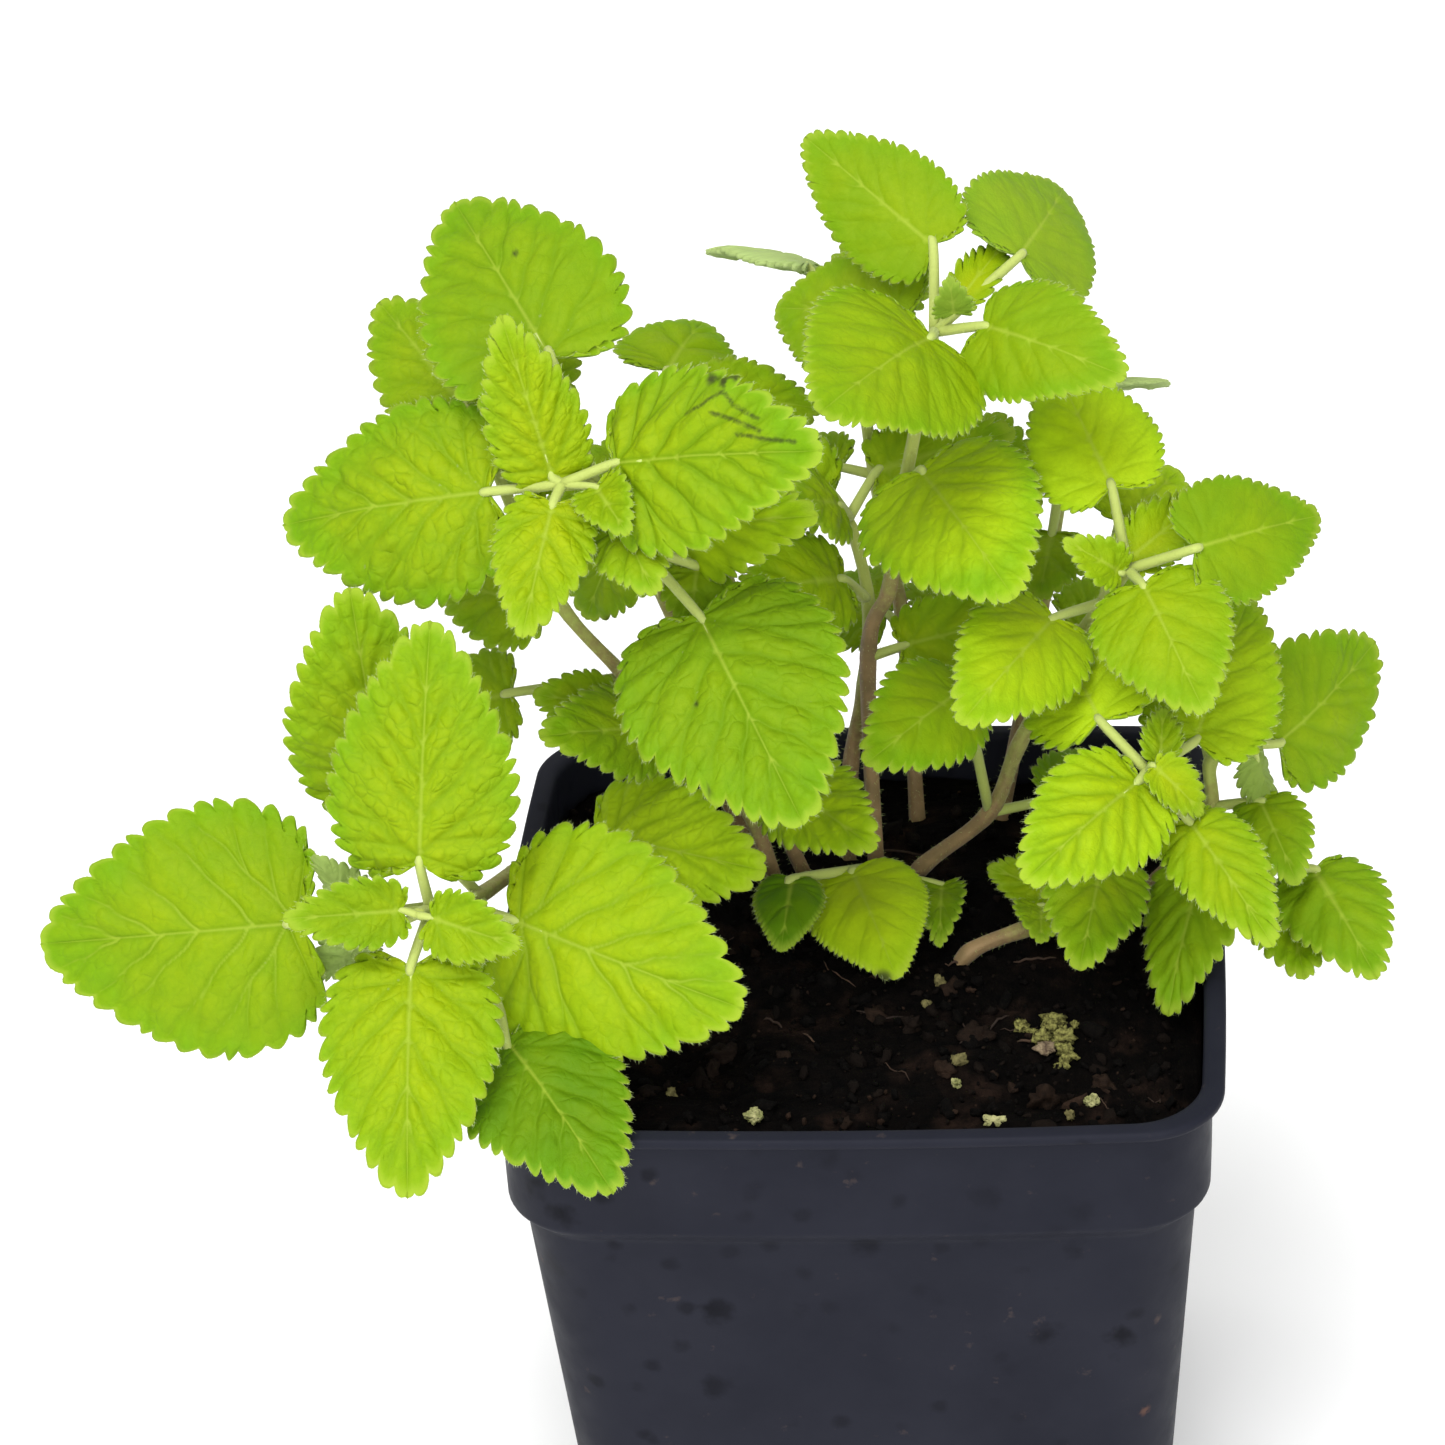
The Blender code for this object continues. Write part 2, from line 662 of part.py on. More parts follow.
def blade(frame, length, width, phase):
    """A thin closed blade, its two faces split into the same triangles."""
    base, along_axis, side_axis, out_axis = frame
    half = half_edge(length, width)
    flat = [np.array([0.0, 0.0])]
    flat += [np.array([p[0], -p[1]]) for p in half]
    flat.append(np.array([length, 0.0]))
    flat += [np.array([p[0], p[1]]) for p in reversed(half)]
    rim = len(flat)
    tip = len(half) + 1
    places = SHORT_MIDRIB_PLACES if length < SHORT_LENGTH else MIDRIB_PLACES
    midrib = [rim + i for i in range(len(places))]
    flat += [np.array([place * length, 0.0]) for place in places]
    spine = [0] + midrib + [tip]
    triangles = [(a, c, b) for a, b, c in strip(flat, list(range(0, tip + 1)), spine)]
    triangles += strip(flat, [0] + list(range(rim - 1, tip - 1, -1)), spine)
    upper = []
    lower = []
    for a, b in flat:
        height = surface_height(a, b, length, width, phase)
        middle = base + along_axis * a + side_axis * b + out_axis * height
        upper.append(middle + out_axis * 0.5 * BLADE_THICKNESS)
        lower.append(middle - out_axis * 0.5 * BLADE_THICKNESS)
    count = len(flat)
    faces = list(triangles)
    faces += [(c + count, b + count, a + count) for a, b, c in triangles]
    for i in range(rim):
        j = (i + 1) % rim
        faces.append((i, j, i + count))
        faces.append((j, j + count, i + count))
    return upper + lower, faces


def strip(flat, edge, spine):
    """Triangles between an edge and the midrib, stepping along both from the notch."""
    triangles = []
    i = 0
    j = 1
    while i < len(edge) - 1:
        next_along = flat[edge[i + 1]][0]
        if i > 0 and j < len(spine) - 2 and flat[spine[j + 1]][0] <= next_along:
            triangles.append((edge[i], spine[j + 1], spine[j]))
            j += 1
        else:
            triangles.append((edge[i], edge[i + 1], spine[j]))
            i += 1
    return triangles


def make_shoot(name, shoot, curve, material):
    """One stem with its petioles and blades joined into a single solid."""
    count = len(curve)
    radii = [STEM_RADIUS + (STEM_TIP_RADIUS - STEM_RADIUS) * i / (count - 1) for i in range(count)]
    points, faces = tube(curve, radii, STEM_SIDES)
    stem = add_object("shoot_" + name, points, faces, material)
    leaves = new_collection("leaves_" + name)
    for index, (leaf_name, stem_point, petiole, blade_way, width, roll) in enumerate(shoot["leaves"]):
        root, base, along, side, out = leaf_frame(shoot, stem_point, petiole, blade_way, roll)
        length = blade_way[2]
        phase = PHASE_STEP * index
        reach = PETIOLE_REACH * length
        end = base + along * reach + out * surface_height(reach, 0.0, length, width, phase)
        radius = PETIOLE_RADIUS if width >= YOUNG_WIDTH else YOUNG_PETIOLE_RADIUS
        radii = [radius, radius, PETIOLE_END_RADIUS]
        stalk_points, stalk_faces = tube([root, base, end], radii, PETIOLE_SIDES)
        move_to(add_object("petiole_" + leaf_name, stalk_points, stalk_faces, None), leaves)
        blade_points, blade_faces = blade((base, along, side, out), length, width, phase)
        move_to(add_object("blade_" + leaf_name, blade_points, blade_faces, None), leaves)
    boolean(stem, leaves, "UNION")
    shade_smooth(stem)
    return stem


def lump(rng, size, flatness):
    """A rough lump around the origin as a convex solid."""
    shape = bmesh.new()
    for _ in range(LUMP_POINTS):
        way = unit(np.array([rng.gauss(0.0, 1.0) for _ in range(3)]))
        reach = 0.5 * size * rng.uniform(LUMP_ROUGHNESS, 1.0)
        shape.verts.new((way[0] * reach, way[1] * reach * LUMP_NARROWNESS, way[2] * reach * flatness))
    result = bmesh.ops.convex_hull(shape, input=shape.verts)
    spare = [v for v in result["geom_interior"] if isinstance(v, bmesh.types.BMVert)]
    bmesh.ops.delete(shape, geom=spare, context="VERTS")
    shape.verts.index_update()
    points = [tuple(v.co) for v in shape.verts]
    faces = [tuple(v.index for v in f.verts) for f in shape.faces]
    shape.free()
    return points, faces


def make_bits(soil, bits, flatness, material, rng):
    """Loose bits that rest a small gap above the soil."""
    ground = BVHTree.FromObject(soil, bpy.context.evaluated_depsgraph_get())
    for name, x, y, size in bits:
        points, faces = lump(rng, size, flatness)
        clearances = []
        for px, py, pz in points:
            hit = ground.ray_cast(Vector(((x + px) * MM, (y + py) * MM, 1.0)), Vector((0.0, 0.0, -1.0)))
            clearances.append(pz - hit[0].z / MM)
        lift = GAP - min(clearances)
        placed = [(x + px, y + py, pz + lift) for px, py, pz in points]
        add_object(name, placed, faces, material)


def main():
    clear_scene()
    make_pot()
    curves = {name: smooth_curve(shoot["stem"], SPAN_STEPS) for name, shoot in SHOOTS.items()}
    soil = make_soil(curves)
    foliage = leaf_material()
    for name, shoot in SHOOTS.items():
        make_shoot(name, shoot, curves[name], foliage)
    rng = random.Random(SEED)
    make_bits(soil, PERLITE, PERLITE_FLATNESS, perlite_material(), rng)
    make_bits(soil, BARK, BARK_FLATNESS, bark_material(), rng)


main()
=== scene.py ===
"""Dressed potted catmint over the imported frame. Built in millimetres, written in metres, +Z up.

The pot's foot is centred on the origin and rests on z = 0. The front faces -Y.
"""
import math
import random
from collections import namedtuple

import bpy
import numpy as np
from mathutils import Matrix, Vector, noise


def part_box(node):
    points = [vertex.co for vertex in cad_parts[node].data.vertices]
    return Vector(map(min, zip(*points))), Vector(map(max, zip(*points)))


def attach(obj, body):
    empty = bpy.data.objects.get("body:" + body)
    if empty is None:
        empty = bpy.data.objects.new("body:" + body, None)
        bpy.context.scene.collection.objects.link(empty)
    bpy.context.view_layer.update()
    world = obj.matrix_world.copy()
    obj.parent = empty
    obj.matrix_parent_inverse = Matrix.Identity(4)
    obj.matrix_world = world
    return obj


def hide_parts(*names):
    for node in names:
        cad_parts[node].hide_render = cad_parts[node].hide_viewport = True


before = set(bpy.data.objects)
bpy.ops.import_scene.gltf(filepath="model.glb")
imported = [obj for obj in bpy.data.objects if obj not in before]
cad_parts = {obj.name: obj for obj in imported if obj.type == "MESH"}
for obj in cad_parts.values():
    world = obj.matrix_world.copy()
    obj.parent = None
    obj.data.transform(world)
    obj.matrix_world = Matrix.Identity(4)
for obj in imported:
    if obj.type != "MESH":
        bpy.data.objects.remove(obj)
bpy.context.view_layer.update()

MM = 0.001
GAP = 0.3
SEED = 27

# Pot: half widths and heights of the walls, from the foot up to the rolled lip.
POT_HEIGHT = 89.0
FOOT_HALF = 36.0
FOOT_FACE_INSET = 3.0
BODY_TOP_HALF = 41.1
BAND_HALF = 42.8
LIP_HALF = 44.5
LIP_INNER_HALF = 42.3
BAND_LOW = POT_HEIGHT - 15.7
LEDGE_LOW = BAND_LOW - 2.2
LIP_LOW = POT_HEIGHT - 1.4
LIP_FILLET = 0.6
LEDGE_WALL_RISE = 0.6
WALL = 1.0
FLOOR = 1.2
EDGE_ROUNDING = 0.55
ROUNDING_POINTS = 4
CORNER_RADIUS = 10.0
CORNER_STEPS = 14
SIDE_STEPS = 20
SIDE_BOW = 0.8
DRAIN_RADIUS = 3.4
DRAIN_OFFSET = 23.0
DRAIN_SIDES = 32

# Soil: its level, the long waves of its top (two rates, a phase and a height), and what is strewn on it.
SOIL_LEVEL = 82.8
SOIL_WAVES = ((0.31, 0.12, 0.4, 0.30), (-0.14, 0.27, 1.9, 0.28), (0.22, -0.33, 3.1, 0.22))
SOIL_RINGS = 84
SOIL_EDGE_DROP = 0.8
CRUMBS = 1250
CRUMB_SIZE = 0.30
CRUMB_GROWTH = 0.8
CRUMB_RARITY = 2.6
CRUMB_LIFT = 0.25
SMALL_CRUMB = 0.5
CLODS = 90
CLOD_SIZES = (1.1, 2.1)
CLOD_LIFT = -0.1
CRUMB_KINDS = 24
CRUMB_SHAPE = (1.0, 0.72, 0.5)
STEM_CLEARANCE = 1.7
FIBRES = 30
FIBRE_LENGTHS = (2.5, 9.0)
FIBRE_BEND = 0.22
FIBRE_RADII = (0.07, 0.2)
FIBRE_LIFT = 0.25
FIBRE_TAPER = (0.5, 0.9, 1, 1, 1, 0.9, 0.8, 0.4)
# Tufts of moss: place from the middle of the front chip of bark, and size.
MOSS = ((1.1, 4.2, 1.5), (2.2, 2.2, 1.3), (2.5, -0.6, 1.2), (2.1, -2.3, 0.9), (-0.5, 1.6, 1.1),
        (-3.0, 4.6, 0.9), (-1.6, 3.2, 0.7), (3.6, 4.6, 0.6))
# Grains that catch the eye among the crumbs: place across, place along, size and shade.
GRAINS = ((10.9, -24.8, 1.3, 0.93), (12.6, -23.4, 1.0, 0.99), (8.0, -9.3, 0.7, 0.99), (9.7, -5.5, 0.8, 1.0),
          (22.6, -29.1, 2.0, 0.92), (30.2, -26.6, 1.5, 0.93), (-16.6, -19.0, 2.0, 0.89),
          (-17.8, -22.4, 1.6, 0.89), (-22.4, -28.2, 0.8, 0.985), (14.2, -16.8, 1.9, 0.90),
          (26.0, -33.5, 0.8, 1.0), (6.4, -14.2, 1.5, 0.88))

# Blades: outline and how the surface stands off its flat frame, as shares of length or width.
LOBE = 0.10
LOBE_PLACE = 0.45
EDGE_POWER = 0.9
EDGE_SKEW = 0.52
EDGE_PEAK = 1.115
EDGE_SAMPLES = 700
ARCH = 0.06
CUP = 0.09
YOUNG_CUP = 0.16
WAVE = 0.02
WAVE_TURN = 7.0
PHASE_STEP = 2.4
BUCKLE = 0.010
BUCKLE_SIZE = 0.28
YOUNG_WIDTH = 9.0
YOUNG_CELL = 1.15
ROW_POWER = 1.9
ROW_BEND = 0.05

# Teeth: the pitch in mm grows with the length of the blade. Height, lean and mean are shares of it.
TOOTH_PITCH_BASE = 0.8
TOOTH_PITCH_GROWTH = 0.063
TOOTH_HEIGHT = 0.47
TOOTH_LEAN = 0.21
TOOTH_SKEW = 1.25
TOOTH_MEAN = 0.60
TOOTH_POINT = 0.25
TOOTH_SIZES = (0.82, 1.15)
TEETH_FROM_BASE = 1.4
TEETH_FROM_TIP = 1.2
# Steps of the grid: how many to a tooth along the edge, and their size across the blade.
PLAIN_STEPS = (8, 0.52)
REAR_STEPS = (6, 0.9)
FINE_STEPS = (12, 0.34)
CLEAR_STEPS = (9, 0.40)
SMALL_STEPS = (6, 0.56)
BLUNT_STEPS = (5, 0.70)
REAR_SHOOTS = ("rear_left", "rear_centre", "rear_right", "centre", "far_left", "low_right", "mid_left")

# Veins: where each leaves the midrib and meets the edge, as shares, and its forks
# (place on the vein, share that its end lies further back, strength).
VEIN_STARTS = (0.02, 0.17, 0.34, 0.52, 0.70)
VEIN_ENDS = (0.42, 0.53, 0.64, 0.74, 0.84)
VEIN_RANKS = range(len(VEIN_STARTS))
VEIN_REACH = 0.95
VEIN_SCATTER = 0.03
VEIN_WANDER = 0.006
VEIN_HALF_WIDTH = 0.22
VEIN_POINTS = 13
FORK_POINTS = 7
LOW_FORKS = ((0.24, 0.17, 0.8), (0.45, 0.10, 0.7), (0.02, 0.29, 0.7))
UPPER_FORKS = ((0.5, 0.075, 0.6),)
# Relief between the veins: how far each part of it reaches in mm, the share that shows on the under
# side, and the turn and squeeze of the net's cells. The crease reach is how far the painted shade in
# the furrows beside the veins spreads.
PILLOW_REACH = 1.7
PUCKER_SIZE = 2.2
RELIEF_RIM = 1.1
CREASE_SHADE_REACH = 0.5
NET_RISE = 0.9
MARGIN_REACH = 0.35
RIB_REACH = 0.4
TIP_HALF_THICKNESS = 0.1
UNDER_RELIEF = 0.6
UNDER_VEIN = 0.45
CELL_TURN = (0.64, 0.77)
CELL_SQUEEZE = (0.80, 1.15)
SCAR_FREE = 2.0
# Shares of the blade that its colours reach: the golden middle, the fresh rim and the fresh tip.
CORE_REACH = 0.30
FRESH_REACH = 0.13
FRESH_TIP_FROM = 0.62
FRESH_TIP = 0.7

# Stems, petioles and their hairs.
STEM_RADIUS = 1.0
STEM_TIP_RADIUS = 0.7
STEM_SIDES = 16
STEM_SPAN_STEPS = 9
STEM_SQUARENESS = 0.09
STEM_AGE = 1.25
NODE_SWELL = 0.16
NODE_SPREAD = 1.6
STEM_END = 0.55
PETIOLE_RADIUS = 0.62
YOUNG_PETIOLE_RADIUS = 0.46
PETIOLE_REACH = 0.09
PETIOLE_SIDES = 9
PETIOLE_SPAN_STEPS = 5
PETIOLE_TAPER = (1.15, 0.98, 0.66, 0.40)
PETIOLE_AGE = 0.35
RIB_STOPS = (0.5, 1.6)
RIB_DEPTH = 0.42
HAIR_WIDTH = 0.055
HAIR_ROOT_DEPTH = 0.02
MARGIN_HAIRS_PER_MM = 5.0
MARGIN_HAIR_LENGTH = 0.48
MARGIN_HAIR_LENGTHS = (0.5, 1.3)
MARGIN_HAIR_SPREAD = 0.33
STEM_HAIRS_PER_MM2 = 1.5
STEM_HAIR_LENGTH = 0.55
STEM_HAIR_LENGTHS = (0.6, 1.25)
STEM_HAIR_SPREAD = 0.35
STEM_HAIR_LEAN = -0.25
PETIOLE_HAIR_SHARE = 1.3
PETIOLE_HAIR_SIZE = 0.85

# A blade in its place: root of the petiole, base and directions of the blade, and height on the stem.
Blade = namedtuple("Blade", "root base along side out length width phase height")

# A leaf's look where its row says nothing else. Colour: the leaf's tone with painted light and shade
# on it (deep green for leaves in shade 0, bright 1, painted sunlight 2), golden middle, aging, greener
# rim (fresh), grey bloom (haze) and paleness of the veins. Relief in mm: height of the net and of the
# pillows, depth of the veins, size of the net's cells, lift of the teeth and thickness. Teeth is the
# share of the usual pitch. Spots are dark specks (along, across, size) and scars dark scratches, in
# shares of the blade.
PLAIN_LOOK = {"tint": 0.85, "gold": 0.6, "aging": 0.0, "fresh": 0.55, "haze": 0.0, "pale": 0.45,
              "quilt": 0.26, "pillow": 0.50, "vein": 0.24, "cell": 1.8, "tooth_lift": 0.24, "thick": 0.30,
              "teeth": 1.0, "spots": (), "scars": ()}
SCARS = (((0.45, -0.88), (0.52, -0.80), (0.60, -0.84), (0.66, -0.76)),
         ((0.54, -0.80), (0.55, -0.66), (0.45, -0.52), (0.36, -0.46)),
         ((0.55, -0.66), (0.60, -0.50), (0.71, -0.36)), ((0.50, -0.44), (0.60, -0.36), (0.73, -0.22)),
         ((0.62, -0.20), (0.74, -0.14), (0.88, -0.10)))


def leaf(name, stem_point, petiole, blade, width, roll=0, **look):
    """One leaf of a shoot, with what is its own in its look."""
    return name, stem_point, petiole, blade, width, roll, look


# Each shoot: the way its leaves look (heading and rise in degrees), its stem as a run of points from
# the root up, and its leaves. A leaf is: name, stem point, petiole (heading, rise, length),
# blade (heading, rise, length), width and roll, then what is its own in its look.
# Headings turn from +X toward +Y, so 180 is left and -90 is the front.
SHOOTS = {
    "front_left": ((-88, 33), [(-20, 9, 79), (-27, 9, 91), (-37, 5, 98), (-46, -12, 102), (-48, -18, 105),
        (-50, -25, 109), (-51, -29, 111)], [
        leaf("small_left", 6, (180, 20, 2), (190, 3, 14), 8.5, tint=0.65),
        leaf("small_right", 6, (-20, 0, 2), (-8, -17, 11), 8.5),
        leaf("top", 5, (-118, 81, 7.5), (79, 65, 29), 22.5, fresh=0.75, quilt=0.48, tint=0.78, gold=0.8,
             pale=0.4),
        leaf("bottom", 5, (-105, -24, 8), (-89, -40, 28), 21.5, quilt=0.34, tint=0.88, gold=1.2, pale=0.5),
        leaf("left", 4, (-166, 2, 19.4), (172, -10, 34), 31, steps=CLEAR_STEPS, fresh=0.8, pillow=0.6,
             vein=0.28, pale=0.9, cell=2.3, tint=0.55),
        leaf("right", 4, (-29, 2, 8), (-21, -11, 31), 29, pillow=0.65, tint=1.0, gold=0.8, pale=0.8,
             cell=2.3),
        leaf("upper", 3, (168, 51, 17), (115, 76, 27), 22, quilt=0.4, tint=0.9),
        leaf("lower", 3, (-77, -19, 22), (-56, -16, 26), 20.5, -22, tint=0.0, gold=0.2, pale=0.5,
             quilt=0.34),
        leaf("inner_right", 2, (-14, 24, 4.5), (-28, 5, 25), 18.5, -8, quilt=0.34, tint=1.9, pale=0.3),
        leaf("bud_up", 5, (165, -10, 10), (174, 60, 9), 6, 150, haze=0.25),
        leaf("bud_down", 5, (163, -33, 11), (185, -40, 9), 7, 150, haze=0.25),
    ]),
    "back_left": ((-88, 40), [(-6, 16, 79), (-12, 14, 98), (-20, 8, 124), (-25, 4, 142), (-29, 2, 151),
        (-33, 0, 153)], [
        leaf("small_up", 5, (180, 45, 1.5), (150, 75, 21), 12, quilt=0.36, tint=1.0, gold=1.6, cell=1.3,
             pale=0.3),
        leaf("small_down", 5, (-105, -15, 3.5), (-104, -38, 17), 12, quilt=0.36, tint=1.0, gold=1.6,
             cell=1.3, pale=0.3),
        leaf("left", 5, (180, -5, 9), (164, -17, 29), 25, fresh=1.0, quilt=0.46, cell=2.3, gold=0.9,
             pale=0.6, pillow=0.65, tint=0.62),
        leaf("right", 5, (0, 23, 7), (-24, 15, 29), 22.5, steps=FINE_STEPS, fresh=0.8, quilt=0.34, cell=2.6,
             pillow=0.8, tint=0.7, pale=0.3,
             spots=((0.46, -0.82, 0.65), (0.53, -0.77, 0.55), (0.59, -0.8, 0.4)), scars=SCARS),
        leaf("back", 4, (141, 69, 17), (118, 16, 30), 25, fresh=0.7, quilt=0.24, cell=2.4, tint=0.55,
             gold=0.25, pillow=0.55, spots=((0.52, 0.23, 0.42),)),
        leaf("young_right", 5, (-20, 5, 4.5), (-60, -15, 9), 7),
        leaf("young_front", 4, (-50, -30, 5), (-66, -20, 12), 10),
        leaf("lower_right", 3, (-44, -28, 12), (-62, -27, 31), 28, tint=0.5, gold=0.1, quilt=0.38,
             pillow=0.65, cell=2.1, spots=((0.36, 0.36, 0.4), (0.63, 0.75, 0.4), (0.71, 0.59, 0.4))),
        leaf("lower_left", 3, (140, 10, 3), (152, -66, 15), 12, tint=0.25, aging=0.15,
             spots=((0.86, -0.55, 1.1),)),
        leaf("inner_right", 3, (72, -18, 9), (-23, 17, 22), 14, tint=1.6, quilt=0.14),
        leaf("inner_dark", 3, (25, -35, 9), (-96, -41, 8), 9, tint=0.5),
    ]),
    "mid_left": ((-90, 50), [(-10, 12, 79), (-13, 11, 94), (-17, 10, 104), (-23, 7, 113)], [
        leaf("left", 3, (180, 18, 2), (-140, 20, 18), 13, tint=0.5),
        leaf("back", 3, (175, 25, 8), (178, 12, 10), 9),
        leaf("right", 2, (-21, 7, 8), (-52, 2, 20), 13, tint=1.5),
    ]),
    "far_left": ((-90, 42), [(-12, 21, 79), (-20, 17, 101), (-29, 14, 117), (-36, 13, 128), (-41, 15, 140),
        (-45, 17, 152)], [
        leaf("tip", 5, (150, 50, 3), (124, 13, 22), 15.5, tint=0.75),
        leaf("tip_back", 5, (40, 30, 3), (60, 15, 18), 14),
        leaf("dark", 4, (60, 40, 4), (60, 50, 10), 8),
        leaf("low", 3, (180, 10, 3), (147, -7, 17), 13),
        leaf("mid", 2, (180, -8, 15), (153, -29, 15), 13),
    ]),
    "centre": ((-88, 45), [(-3, 22, 79), (-2, 25, 96), (0, 28, 106), (1, 30, 118), (-1, 32, 129)], [
        leaf("front", 3, (-120, 48, 8), (-140, 15, 17), 14),
        leaf("top_left", 4, (-150, 61, 6), (-170, 24, 21), 14),
        leaf("top_front", 4, (-100, 45, 6), (-118, 30, 13), 11),
        leaf("top_right", 4, (40, 45, 7), (12, 10, 18), 12),
        leaf("back", 3, (140, 0, 6), (150, -20, 11), 10),
    ]),
    "tall": ((-88, 42), [(1, 19, 79), (1, 24, 113), (4, 26, 122), (6, 27, 134), (9, 26, 149),
        (11, 25, 159)], [
        leaf("top_left", 5, (92, 54, 10.8), (137, 20, 22.8), 15.5, -10, vein=0.14, steps=SMALL_STEPS,
             quilt=0.12, pillow=0.22, gold=0.5, teeth=0.66, tint=0.52),
        leaf("top_right", 5, (38, 24, 14.5), (76, -4, 22), 20, 22, vein=0.1, steps=SMALL_STEPS, haze=0.04,
             quilt=0.08, pillow=0.12, gold=0.1, teeth=0.66, tint=0.7, pale=0.2),
        leaf("young", 5, (35, 39, 4.5), (61, 12, 13), 5.5, vein=0.1, pillow=0.15, gold=1.8, tint=1.0,
             quilt=0.05),
        leaf("bud", 5, (-21, 48, 4), (-104, 75, 6), 5, haze=0.12, vein=0.1, pillow=0.15, tint=0.6, gold=0.2,
             quilt=0.05),
        leaf("right", 5, (-30, 20, 7.5), (-39, 0, 22), 16, vein=0.14, steps=SMALL_STEPS, quilt=0.12,
             pillow=0.22, gold=0.4, teeth=0.68, tint=0.58),
        leaf("front", 5, (-91, 23, 5.5), (-119, 5, 26), 24, tint=0.72, vein=0.14, steps=SMALL_STEPS,
             quilt=0.14, pale=0.3, cell=1.6, teeth=0.68, pillow=0.25),
        leaf("left", 4, (114, 62, 10), (141, -13, 22), 19.5, pillow=0.25, vein=0.12, steps=SMALL_STEPS,
             quilt=0.16, teeth=0.68, gold=0.3),
        leaf("lower_front", 3, (-66, 50, 10.5), (-64, -9, 27), 23, vein=0.15, pillow=0.3, fresh=1.0,
             tint=1.5, quilt=0.2, pale=0.25, teeth=0.85),
        leaf("lower_right", 1, (0, 20, 5), (10, 8, 18), 11),
    ]),
    "right": ((-88, 40), [(3, 16, 79), (7, 16, 86), (16, 15, 95), (20, 17, 104), (26, 18, 116),
        (31, 15, 126), (34, 11, 133)], [
        leaf("top", 6, (115, 66, 10.5), (110, 18, 21), 16.5, vein=0.14, steps=SMALL_STEPS, tint=1.75,
             quilt=0.1, pillow=0.18, teeth=0.68),
        leaf("right", 6, (-20, 28, 10), (39, -9, 20), 16, vein=0.14, steps=SMALL_STEPS, gold=0.3,
             quilt=0.12, pillow=0.2, teeth=0.68, tint=0.45),
        leaf("front", 6, (-70, 8, 5.5), (-68, -22, 20), 17, vein=0.16, tint=0.82, gold=0.8, quilt=0.16,
             pillow=0.28, teeth=0.85),
        leaf("small_left", 6, (-115, 19, 2), (-169, 38, 9), 6, vein=0.14, pillow=0.25, gold=0.4, tint=1.0),
        leaf("small_right", 6, (60, 60, 1.5), (42, 15, 14), 8, vein=0.14, pillow=0.25, gold=1.4, tint=1.2,
             quilt=0.16),
        leaf("lower_left", 5, (-131, 13, 9.5), (-120, -7, 22.5), 16, vein=0.15, tint=1.35, quilt=0.12,
             pillow=0.2, gold=0.8, teeth=0.85),
        leaf("lower_back", 5, (80, 16, 14), (57, 1, 14), 13, tint=1.8),
        leaf("inner_left", 2, (-132, 79, 21), (-128, -4, 19), 14.5, fresh=0.9, gold=0.1, vein=0.14,
             quilt=0.12, pillow=0.22),
        leaf("inner_right", 2, (18, 2, 9), (58, -10, 14), 11, tint=0.3),
    ]),
    "front_right": ((-85, 50), [(11, 0, 79), (13.3, 0.9, 83.2), (20, 3.5, 84.7), (28, 6, 85.4), (32, 2, 96),
        (36, -8, 116)], [
        leaf("front_left", 5, (-120, -1, 2), (-131, -10, 21.5), 16, tint=1.35, gold=1.0, quilt=0.16,
             pillow=0.6, pale=0.25),
        leaf("front_right", 5, (-23, -48, 8), (-62, -17, 21), 11.5, gold=0.9, quilt=0.12, pillow=0.4,
             teeth=0.8),
        leaf("back_left", 5, (134, 25, 9), (107, 7, 17), 17, -15, vein=0.14, tint=1.8, quilt=0.1,
             pillow=0.2),
        leaf("back_right", 5, (49, 1, 9), (72, 16, 24), 17, vein=0.16, pillow=0.3, tint=1.3, quilt=0.14,
             gold=0.4, teeth=0.85),
        leaf("small_up", 5, (0, 41, 2), (86, 23, 8), 5),
        leaf("shaded", 4, (-120, 35, 4), (-100, -14, 18), 13, tint=0.55, quilt=0.14),
        leaf("low_front", 3, (-170, 20, 6), (-90, 3, 9), 7),
        leaf("low_back", 3, (150, 20, 5), (160, 12, 9), 7),
        leaf("small_yellow", 5, (-67, 41, 3), (-1, -51, 9), 6, vein=0.12, pillow=0.2, gold=1.6, tint=1.0,
             quilt=0.14),
    ]),
    "far_right": ((-84, 40), [(33, 16, 79), (41, 12, 91), (44, 11, 98), (44, 12, 104), (47, 13, 106)], [
        leaf("tip", 4, (13, -6, 6), (56, 7, 23), 18.5, 22, vein=0.14, tint=0.48, quilt=0.16, gold=0.4),
        leaf("grey", 4, (-58, 10, 4), (0, -69, 10), 6, 150, haze=0.08),
        leaf("low", 2, (-22, 20, 7), (-73, -14, 14.5), 10, vein=0.14, tint=0.4, quilt=0.16),
        leaf("back", 3, (100, 20, 6), (95, 5, 18), 15),
    ]),
    "low_right": ((-85, 50), [(29, 9, 79), (37, 4, 90), (42, 2, 95), (49, 2, 95)], [
        leaf("drooping", 2, (-65, 50, 5), (-109, -39, 21), 13.5, 28, tint=0.55, quilt=0.18, gold=0.2),
        leaf("outer", 3, (0, -4, 7.5), (-68, -14, 19), 14, tint=0.4, quilt=0.12, gold=0.3),
        leaf("under", 3, (30, -50, 7), (-83, -8, 16), 12),
    ]),
    "low_centre": ((-88, 60), [(1, 10, 79), (0, 13, 88)], [
        leaf("yellow", 1, (-120, 25, 3.5), (-72, -10, 20), 16, steps=BLUNT_STEPS, vein=0.12, tint=2.0,
             aging=0.15, gold=0.9, quilt=0.08, pillow=0.2, teeth=0.46, pale=0.2, spots=((0.97, 0.2, 1.2),)),
        leaf("dark", 1, (-141, 17, 12), (-95, -15, 12), 9, gold=0.0, fresh=0.05, steps=BLUNT_STEPS,
             tint=0.0, quilt=0.1, pillow=0.2, teeth=0.5),
        leaf("narrow", 1, (0, -15, 10), (-90, -3, 13), 6, tint=0.3, quilt=0.14),
    ]),
